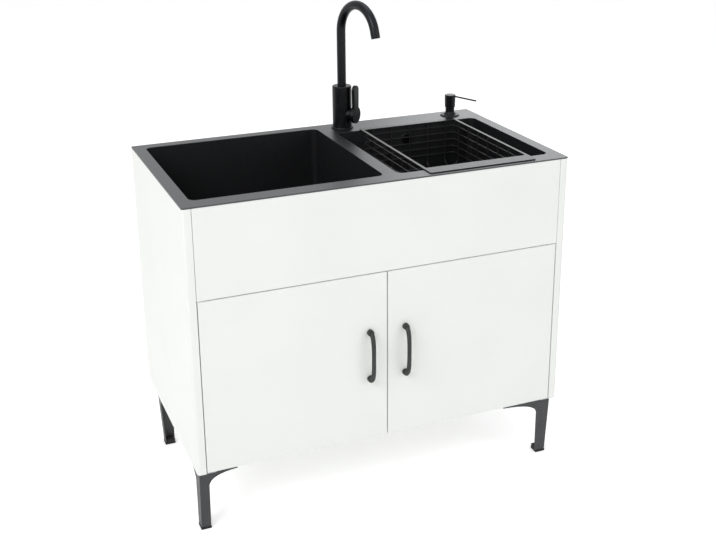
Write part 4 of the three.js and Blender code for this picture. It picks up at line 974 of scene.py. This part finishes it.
def strainer(node, sizes):
    """A perforated cup with a rolled rim, and a knob on a post."""
    low, high, centre, rim_radius = measured(node)
    radius = rim_radius - 9 * MM
    sheet = sizes.strainer_sheet
    rim_z = low.z + sizes.strainer_depth
    floor_radius = radius - 5 * MM
    post, knob, side_hole, floor_hole = 3 * MM, 8 * MM, 1.9 * MM, 1.7 * MM
    bm = lathe([
        (0, low.z), (floor_radius, low.z), (radius, rim_z), (rim_radius, rim_z),
        (rim_radius, rim_z + sheet), (radius - sheet, rim_z + sheet), (floor_radius - sheet, low.z + sheet),
        (post, low.z + sheet), (post, high.z - knob), (knob, high.z - knob + MM), (knob, high.z - 2 * MM),
        (knob - 2 * MM, high.z), (0, high.z)], centre, 72)
    holes = []
    for ray in spokes(sizes.strainer_holes):
        for drop in (12 * MM, 19 * MM, 26 * MM):
            start = Vector((centre.x, centre.y, rim_z - drop)) + ray * (radius - 9 * MM)
            holes.append(rod(start, start + ray * 14 * MM, side_hole, sides=12))
        for ring in (13 * MM, 22 * MM):
            holes.append(upright(centre + ray * ring, low.z - MM, low.z + 3 * MM, floor_hole, 12))
    dress(node, "cup", carved(bm, gathered(holes)), "stainless", node)


def drain_nut(node, sizes):
    """The large nut under a bowl, with eight grip hollows round it."""
    low, high, centre, radius = measured(node)
    under, over = low.z - MM, high.z + MM
    grip, grip_out = 12 * MM, 9 * MM
    tools = [upright(centre, under, over, sizes.drain_hole + 0.4 * MM, 96)]
    for ray in spokes(8, start=0.5):
        tools.append(upright(centre + ray * (radius + grip_out), under, over, grip, 40))
    bm = carved(upright(centre, low.z, high.z, radius, 128), *tools)
    dress(node, "moulding", ease(bm, 0.8 * MM, 50), "white_plastic")


class SINKUNIT_OT_drains(bpy.types.Operator):
    """Builds the drain bodies, their strainers and their nuts"""
    bl_idname = "sink_unit.drains"
    bl_label = "Drains"

    def execute(self, context):
        sizes = context.scene.sink_unit_sink
        for hand in ("left", "right"):
            drain_body(f"{hand}_drain_body", sizes)
            strainer(f"{hand}_strainer", sizes)
            drain_nut(f"{hand}_drain_nut", sizes)
        return {"FINISHED"}


# ---- waste pipes

def ribbed_nut(centre, z, radius, height):
    """A round nut with 16 grip ribs."""
    rib, edge, inset = 1.5 * MM, 1.2 * MM, 2 * MM
    bm = ease(upright(centre, z, z + height, radius - edge, 64), edge)
    ribs = [
        upright(centre + ray * (radius - 1.6 * MM), z + inset, z + height - inset, rib, 12)
        for ray in spokes(16)]
    return joined(bm, *ribs)


def waste_elbow(hand, towards, sizes):
    """A pipe that bends from under a drain to the tee, with a nut and a socket for the drain's spigot."""
    node = f"{hand}_waste_elbow"
    low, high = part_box(node)
    drain = middle(f"{hand}_drain_body")
    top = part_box(f"{hand}_drain_body")[0].z
    level = low.z + sizes.spigot
    end_x = high.x if towards > 0 else low.x
    pipe = tube(
        [(drain.x, drain.y, top - 0.3 * MM), (drain.x, drain.y, level), (end_x, drain.y, level)],
        sizes.elbow_bend, sizes.spigot, around=10, along=16)
    socket = upright(drain, top - 9 * MM, high.z, sizes.spigot + 4 * MM, 64)
    nut = ribbed_nut(drain, top - 2 * MM, (high.y - low.y) / 2, 16 * MM)
    bore = upright(drain, top, high.z + 2 * MM, sizes.spigot + 0.3 * MM, 64)
    dress(node, "moulding", carved(joined(pipe, socket, nut), bore), "white_plastic")


class SINKUNIT_OT_waste(bpy.types.Operator):
    """Builds the waste elbows, the tee, the bottle trap and the outlet pipe"""
    bl_idname = "sink_unit.waste"
    bl_label = "Waste pipes"

    def execute(self, context):
        sizes = context.scene.sink_unit_sink
        waste_elbow("left", 1, sizes)
        waste_elbow("right", -1, sizes)
        for node in ("waste_tee", "trap_body", "trap_cup", "outlet_pipe"):
            soften(node, "white_plastic", 0.6 * MM, 40)
        return {"FINISHED"}


# ---- wire basket

def evenly(start, end, number):
    """Places in the middle of equal steps from start to end."""
    return [start + (end - start) * (i + 0.5) / number for i in range(number)]


class SINKUNIT_OT_basket(bpy.types.Operator):
    """Builds the flat rim and the welded wires of the basket"""
    bl_idname = "sink_unit.basket"
    bl_label = "Wire basket"

    def execute(self, context):
        sizes = context.scene.sink_unit_basket
        low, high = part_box("wire_basket")
        bowl_low, bowl_high = bowl_hole("right_bowl", context.scene.sink_unit_sink)
        weld = sizes.wire / 5
        x0, x1 = low.x + sizes.side_bar - weld, high.x - sizes.side_bar + weld
        y0, y1 = bowl_low.y + sizes.wall, bowl_high.y - sizes.wall
        rim_z = high.z - sizes.rim
        mouth = rounded_block(
            (x0 + weld, y0 + weld, rim_z - MM), (x1 - weld, y1 - weld, high.z + MM), sizes.rim_corner, 6)
        rim = carved(rounded_block((low.x, low.y, rim_z), high, sizes.rim_corner, 6), mouth)
        make_piece(
            "basket_rim", ease(rim, 0.5 * MM, 60), "basket", "black_steel", "wire_basket",
            look="basket_rim")

        floor = low.z + sizes.wire / 2
        hang = rim_z + sizes.rim / 2
        out = sizes.wire - weld
        pitch = (hang - floor - sizes.bend) / (sizes.rows + 0.5)
        routes = []
        for i in range(sizes.rows):
            z = hang - pitch * (i + 0.8)
            routes.append((
                [(x0 - out, y0 - out, z), (x1 + out, y0 - out, z), (x1 + out, y1 + out, z),
                 (x0 - out, y1 + out, z)], sizes.row_corner, True))
        for x in evenly(x0, x1, sizes.long_hoops):
            routes.append(([(x, y0, hang), (x, y0, floor), (x, y1, floor), (x, y1, hang)], sizes.bend, False))
        for y in evenly(y0, y1, sizes.cross_hoops):
            z = floor + out
            routes.append(([(x0, y, hang), (x0, y, z), (x1, y, z), (x1, y, hang)], sizes.bend, False))
        wires = [
            tube(corners, bend, sizes.wire / 2, closed, around=2, along=5)
            for corners, bend, closed in routes]
        make_piece(
            "basket_wires", joined(*wires), "basket", "black_steel", look="basket_wire", smooth_angle=60)
        return {"FINISHED"}


# ---- tap

TURRET_GAP = 0.3 * MM  # air between the boss, the turret and the lever
PIN_RISE = 2.1 * MM  # the lever's hinge pin over the turret's plate
PIN_OUT = 0.5 * MM  # the pin's axis past the plate's rim
PIN_RADIUS = 1.1 * MM
PIN_HALF = 5.5 * MM  # half the pin's length
EAR_HALF = 3 * MM  # half the width of the ear that holds the pin
EAR_WALL = 1.8 * MM  # the ear's faces from the pin's axis
HINGE_GAP = 0.4 * MM  # air round the ear and the pin in the lever's slots


def boss_frame(sizes):
    """The boss's own frame: x level across it, y up, z outwards along its axis."""
    out = Vector((cos(sizes.boss_turn), -sin(sizes.boss_turn), 0))
    turn = Matrix((UP.cross(out), UP, out)).transposed().to_4x4()
    axis = tap_axis()
    return Matrix.Translation((axis.x, axis.y, deck_top() + sizes.boss_rise)) @ turn


def tap_ring(sizes):
    low, high, centre, ring = measured("tap_base_ring")
    bore = sizes.ring_bore
    bm = lathe([
        (bore, low.z), (ring, low.z), (ring, low.z + 1.5 * MM), (ring - 2 * MM, high.z), (bore, high.z),
        (bore, low.z)], centre, 96)
    dress("tap_base_ring", "turned", ease(bm, 0.4 * MM, 25), "stainless", look="gunmetal")


def tap_body(sizes):
    """The barrel with the boss for the cartridge and the well for the spout."""
    low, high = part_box("tap_body")
    radius = sizes.body_radius
    barrel = lathe([(0, low.z), (radius, low.z), (radius, high.z), (0, high.z)], tap_axis(), 96)
    rim = [e for e in sharp_edges(barrel) if e.verts[0].co.z > high.z - MM]
    bevel_edges(barrel, rim, sizes.body_arris, 5)
    boss = rod((0, 0, 0), (0, 0, sizes.boss_reach), sizes.boss_radius, sides=72)
    bevel_edges(boss, [e for e in sharp_edges(boss) if e.verts[0].co.z > MM], 0.8 * MM, 3)
    place_in(boss, boss_frame(sizes))
    well = upright(
        tap_axis(), high.z - sizes.spout_well, high.z + MM, sizes.spout_radius + 0.4 * MM, 72)
    dress("tap_body", "turned", carved(joined(barrel, boss), well), "gunmetal")


def tap_turret(sizes):
    """The cartridge's turning plate, with its spindle and the pin that carries the lever."""
    radius = sizes.turret_radius
    face = sizes.boss_reach + TURRET_GAP
    pin_z = face + sizes.turret + PIN_RISE
    pin_y = -radius - PIN_OUT
    plate = ease(rod((0, 0, face), (0, 0, face + sizes.turret), radius, sides=72), 0.5 * MM)
    spindle = rod((0, 0, face - 15 * MM), (0, 0, face + MM), 8 * MM, sides=40)
    ear = block(
        (-EAR_HALF, pin_y - EAR_WALL, face + 2 * MM), (EAR_HALF, pin_y + EAR_WALL, pin_z + EAR_WALL))
    pin = rod((-PIN_HALF, pin_y, pin_z), (PIN_HALF, pin_y, pin_z), PIN_RADIUS, sides=20)
    bm = place_in(joined(plate, spindle, ear, pin), boss_frame(sizes))
    dress("tap_turret", "turned", bm, "gunmetal", "turret")


def tap_lever(sizes):
    """A paddle: a round hub drawn up into a blade with a round end."""
    back = sizes.boss_reach + sizes.turret + 2 * TURRET_GAP
    front = back + sizes.lever_thickness
    reach = sizes.lever_length
    hub = rod((0, 0, back), (0, 0, front), sizes.hub_radius, sides=96)
    blade = block((-sizes.lever_root, 0, back), (sizes.lever_root, reach, front))
    far = [v for v in blade.verts if v.co.y > reach / 2]
    bmesh.ops.scale(blade, vec=(sizes.lever_end / sizes.lever_root, 1, 1), verts=far)
    end = rod((0, reach, back), (0, reach, front), sizes.lever_end, sides=96)
    bm = joined(hub, blade, end)
    bmesh.ops.dissolve_limit(bm, angle_limit=FLAT, verts=bm.verts, edges=bm.edges)
    ease(bm, 1.5 * MM, 60, 4)
    pin_y, pin_z = -sizes.turret_radius - PIN_OUT, back + PIN_RISE - TURRET_GAP
    half, top = EAR_HALF + HINGE_GAP, pin_y + EAR_WALL * sqrt(2) + HINGE_GAP
    ear_slot = block((-half, -sizes.hub_radius - 4 * MM, back - MM), (half, top, pin_z + 3 * MM))
    half, room = PIN_HALF + HINGE_GAP, PIN_RADIUS + HINGE_GAP
    pin_slot = block((-half, pin_y - room, back - MM), (half, pin_y + room, pin_z + room))
    bm = place_in(carved(bm, ear_slot, pin_slot), boss_frame(sizes))
    dress("tap_lever", "paddle", bm, "gunmetal", "lever")


def extruded(bm, edges):
    """Extrudes a loop of edges where it lies. Returns the new loop's corners and its edges."""
    out = bmesh.ops.extrude_edge_only(bm, edges=edges)["geom"]
    verts = [g for g in out if isinstance(g, bmesh.types.BMVert)]
    loop = [g for g in out if isinstance(g, bmesh.types.BMEdge) and all(v in verts for v in g.verts)]
    return verts, loop


def drawn_on(bm, edges, step):
    """Draws a loop of edges on by a step and returns the new loop."""
    verts, loop = extruded(bm, edges)
    bmesh.ops.translate(bm, vec=step, verts=verts)
    return loop


def spout_aim(sizes):
    """The way the swan neck's tail points before the spout is turned to its rest direction."""
    return Vector((0, -sin(sizes.spout_sweep), cos(sizes.spout_sweep)))


def tap_spout(sizes):
    """The swan neck, drawn from one ring: up, round the bend and down its tail, then back up inside."""
    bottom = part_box("tap_spout")[0].z
    bend_z = deck_top() + sizes.spout_rise
    radius = sizes.spout_radius
    bm = bmesh.new()
    ring = bmesh.ops.create_circle(bm, cap_ends=False, radius=radius, segments=40)["verts"]
    bmesh.ops.translate(bm, vec=(0, 0, bottom), verts=ring)
    edges = drawn_on(bm, list({e for v in ring for e in v.link_edges}), UP * (bend_z - bottom))
    swept = bmesh.ops.spin(
        bm, geom=edges + list({v for e in edges for v in e.verts}), cent=(0, -sizes.spout_bend, bend_z),
        axis=(1, 0, 0), dvec=(0, 0, 0), angle=sizes.spout_sweep, steps=56, use_merge=False,
        use_duplicate=False)
    edges = [g for g in swept["geom_last"] if isinstance(g, bmesh.types.BMEdge)]
    edges = drawn_on(bm, edges, spout_aim(sizes) * sizes.spout_tail)
    verts, edges = extruded(bm, edges)
    centre = sum((v.co for v in verts), Vector()) / len(verts)
    wall, lip = 1.5 * MM, 7 * MM
    inner = (radius - wall) / radius
    bmesh.ops.scale(bm, vec=(inner,) * 3, space=Matrix.Translation(-centre), verts=verts)
    drawn_on(bm, edges, -spout_aim(sizes) * lip)
    bmesh.ops.holes_fill(bm, edges=[e for e in bm.edges if e.is_boundary], sides=0)
    bmesh.ops.recalc_face_normals(bm, faces=bm.faces)
    axis = tap_axis()
    place = Matrix.Translation((axis.x, axis.y, 0)) @ Matrix.Rotation(sizes.spout_turn, 4, "Z")
    dress("tap_spout", "neck", place_in(ease(bm, 0.4 * MM, 60), place), "gunmetal", "spout")


def tap_aerator(sizes):
    """A black insert with a honeycomb of small holes."""
    axis = tap_axis()
    turn = Matrix.Rotation(sizes.spout_turn, 3, "Z")
    aim = turn @ spout_aim(sizes)
    bend_end = Vector((
        0, -sizes.spout_bend * (1 - cos(sizes.spout_sweep)),
        deck_top() + sizes.spout_rise + sizes.spout_bend * sin(sizes.spout_sweep)))
    tip = Vector((axis.x, axis.y, 0)) + turn @ bend_end + aim * sizes.spout_tail
    insert = ease(
        rod(tip - aim * 6.7 * MM, tip - aim * 0.6 * MM, sizes.spout_radius - 1.8 * MM), 0.4 * MM)
    side = aim.orthogonal().normalized()
    holes = []
    for ring, number in ((0, 1), (2.6 * MM, 6), (5.2 * MM, 12)):
        for i in range(number):
            place = tip + Matrix.Rotation(2 * pi * i / number, 3, aim) @ side * ring
            holes.append(rod(place - aim * 3 * MM, place + aim * MM, 0.85 * MM, sides=10))
    dress("tap_aerator", "insert", carved(insert, *holes), "black_plastic", "spout")


class SINKUNIT_OT_tap(bpy.types.Operator):
    """Builds the mixer tap with its lever, its spout and its fixing under the deck"""
    bl_idname = "sink_unit.tap"
    bl_label = "Mixer tap"

    def execute(self, context):
        sizes = context.scene.sink_unit_tap
        for build in (tap_ring, tap_body, tap_turret, tap_lever, tap_spout, tap_aerator):
            build(sizes)
        for node in ("tap_shank", "tap_fixing_nut"):
            soften(node, "zinc_plate", 0.5 * MM, 50)
        return {"FINISHED"}


# ---- soap pump

def soap_collar(sizes):
    """The threaded collar with its flange on the deck and the cone under the cap."""
    low, high, centre, flange = measured("soap_collar")
    deck = deck_top()
    seat, flange_top = deck + 0.3 * MM, deck + 3.5 * MM
    bm = lathe([
        (sizes.stem_bore, low.z), (sizes.thread_radius, low.z), (sizes.thread_radius, seat), (flange, seat),
        (flange, seat + MM), (flange - 4 * MM, flange_top), (sizes.cone_radius, flange_top),
        (sizes.collar_radius, deck + sizes.cone_top), (sizes.collar_radius, high.z),
        (sizes.stem_bore, high.z), (sizes.stem_bore, low.z)], centre, 72)
    dress("soap_collar", "turned", ease(bm, 0.7 * MM, 25, 3), "gunmetal")


def soap_cap(sizes):
    """A skirt over the collar with a thin nozzle."""
    low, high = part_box("soap_cap")
    axis = pump_axis()
    radius = sizes.cap_radius
    inner = radius - sizes.cap_wall
    roof = high.z - 11 * MM
    cap = lathe([
        (inner, low.z), (radius - 0.6 * MM, low.z), (radius, high.z - 6 * MM), (radius, high.z), (0, high.z),
        (0, roof), (inner, roof), (inner, low.z)], axis, 72)
    bevel_edges(cap, [e for e in sharp_edges(cap, 40) if e.verts[0].co.z > high.z - MM], 1.6 * MM, 4)
    out = Vector((cos(sizes.nozzle_turn), -sin(sizes.nozzle_turn), 0))
    root = Vector((axis.x, axis.y, high.z - sizes.nozzle_drop))
    start = root + out * inner
    fall = (sizes.nozzle_length - radius) * tan(sizes.nozzle_slope)
    tip = root + out * sizes.nozzle_length - UP * fall
    nozzle = rod(start, tip, sizes.nozzle_radius, sides=24)
    back = start - tip
    bore = rod(tip + back * 0.12, tip - back * 0.02, sizes.nozzle_radius * 0.6, sides=16)
    dress("soap_cap", "turned", carved(joined(cap, nozzle), bore), "gunmetal", "pump_cap")


class SINKUNIT_OT_pump(bpy.types.Operator):
    """Builds the soap pump and the bottle under the deck"""
    bl_idname = "sink_unit.pump"
    bl_label = "Soap pump"

    def execute(self, context):
        sizes = context.scene.sink_unit_pump
        soap_collar(sizes)
        soap_cap(sizes)
        soften("soap_stem", "stainless", 0.3 * MM, 50, "pump_stem")
        soften("soap_fixing_nut", "black_plastic", 0.6 * MM, 50)
        soften("soap_bottle", "clear_plastic", 0.8 * MM, 40)
        return {"FINISHED"}


# ---- panel and registration

PIECES = (
    SINKUNIT_OT_stage, SINKUNIT_OT_cabinet, SINKUNIT_OT_doors, SINKUNIT_OT_legs, SINKUNIT_OT_sink,
    SINKUNIT_OT_drains, SINKUNIT_OT_waste, SINKUNIT_OT_basket, SINKUNIT_OT_tap, SINKUNIT_OT_pump,
)
GROUPS = {
    "sink_unit_finishes": SinkUnitFinishes,
    "sink_unit_cabinet": SinkUnitCabinetSizes,
    "sink_unit_sink": SinkUnitSinkSizes,
    "sink_unit_basket": SinkUnitBasketSizes,
    "sink_unit_tap": SinkUnitTapSizes,
    "sink_unit_pump": SinkUnitPumpSizes,
}


class SINKUNIT_PT_panel(bpy.types.Panel):
    """Lists the steps that build the sink unit, and its sizes and colours"""
    bl_label = "Sink unit"
    bl_idname = "SINKUNIT_PT_panel"
    bl_space_type = "VIEW_3D"
    bl_region_type = "UI"
    bl_category = "Sink unit"

    def draw(self, context):
        for operator in PIECES:
            self.layout.operator(operator.bl_idname)
        for name, group in GROUPS.items():
            box = self.layout.box()
            for prop in group.__annotations__:
                box.prop(getattr(context.scene, name), prop)


CLASSES = (*GROUPS.values(), *PIECES, SINKUNIT_PT_panel)


def register():
    for cls in CLASSES:
        bpy.utils.register_class(cls)
    for name, group in GROUPS.items():
        setattr(bpy.types.Scene, name, PointerProperty(type=group))


def unregister():
    for name in GROUPS:
        delattr(bpy.types.Scene, name)
    for cls in reversed(CLASSES):
        bpy.utils.unregister_class(cls)


def main():
    """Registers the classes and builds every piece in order."""
    register()
    bpy.ops.sink_unit.stage()
    bpy.ops.sink_unit.cabinet()
    bpy.ops.sink_unit.doors()
    bpy.ops.sink_unit.legs()
    bpy.ops.sink_unit.sink()
    bpy.ops.sink_unit.drains()
    bpy.ops.sink_unit.waste()
    bpy.ops.sink_unit.basket()
    bpy.ops.sink_unit.tap()
    bpy.ops.sink_unit.pump()


if __name__ == "__main__":
    main()
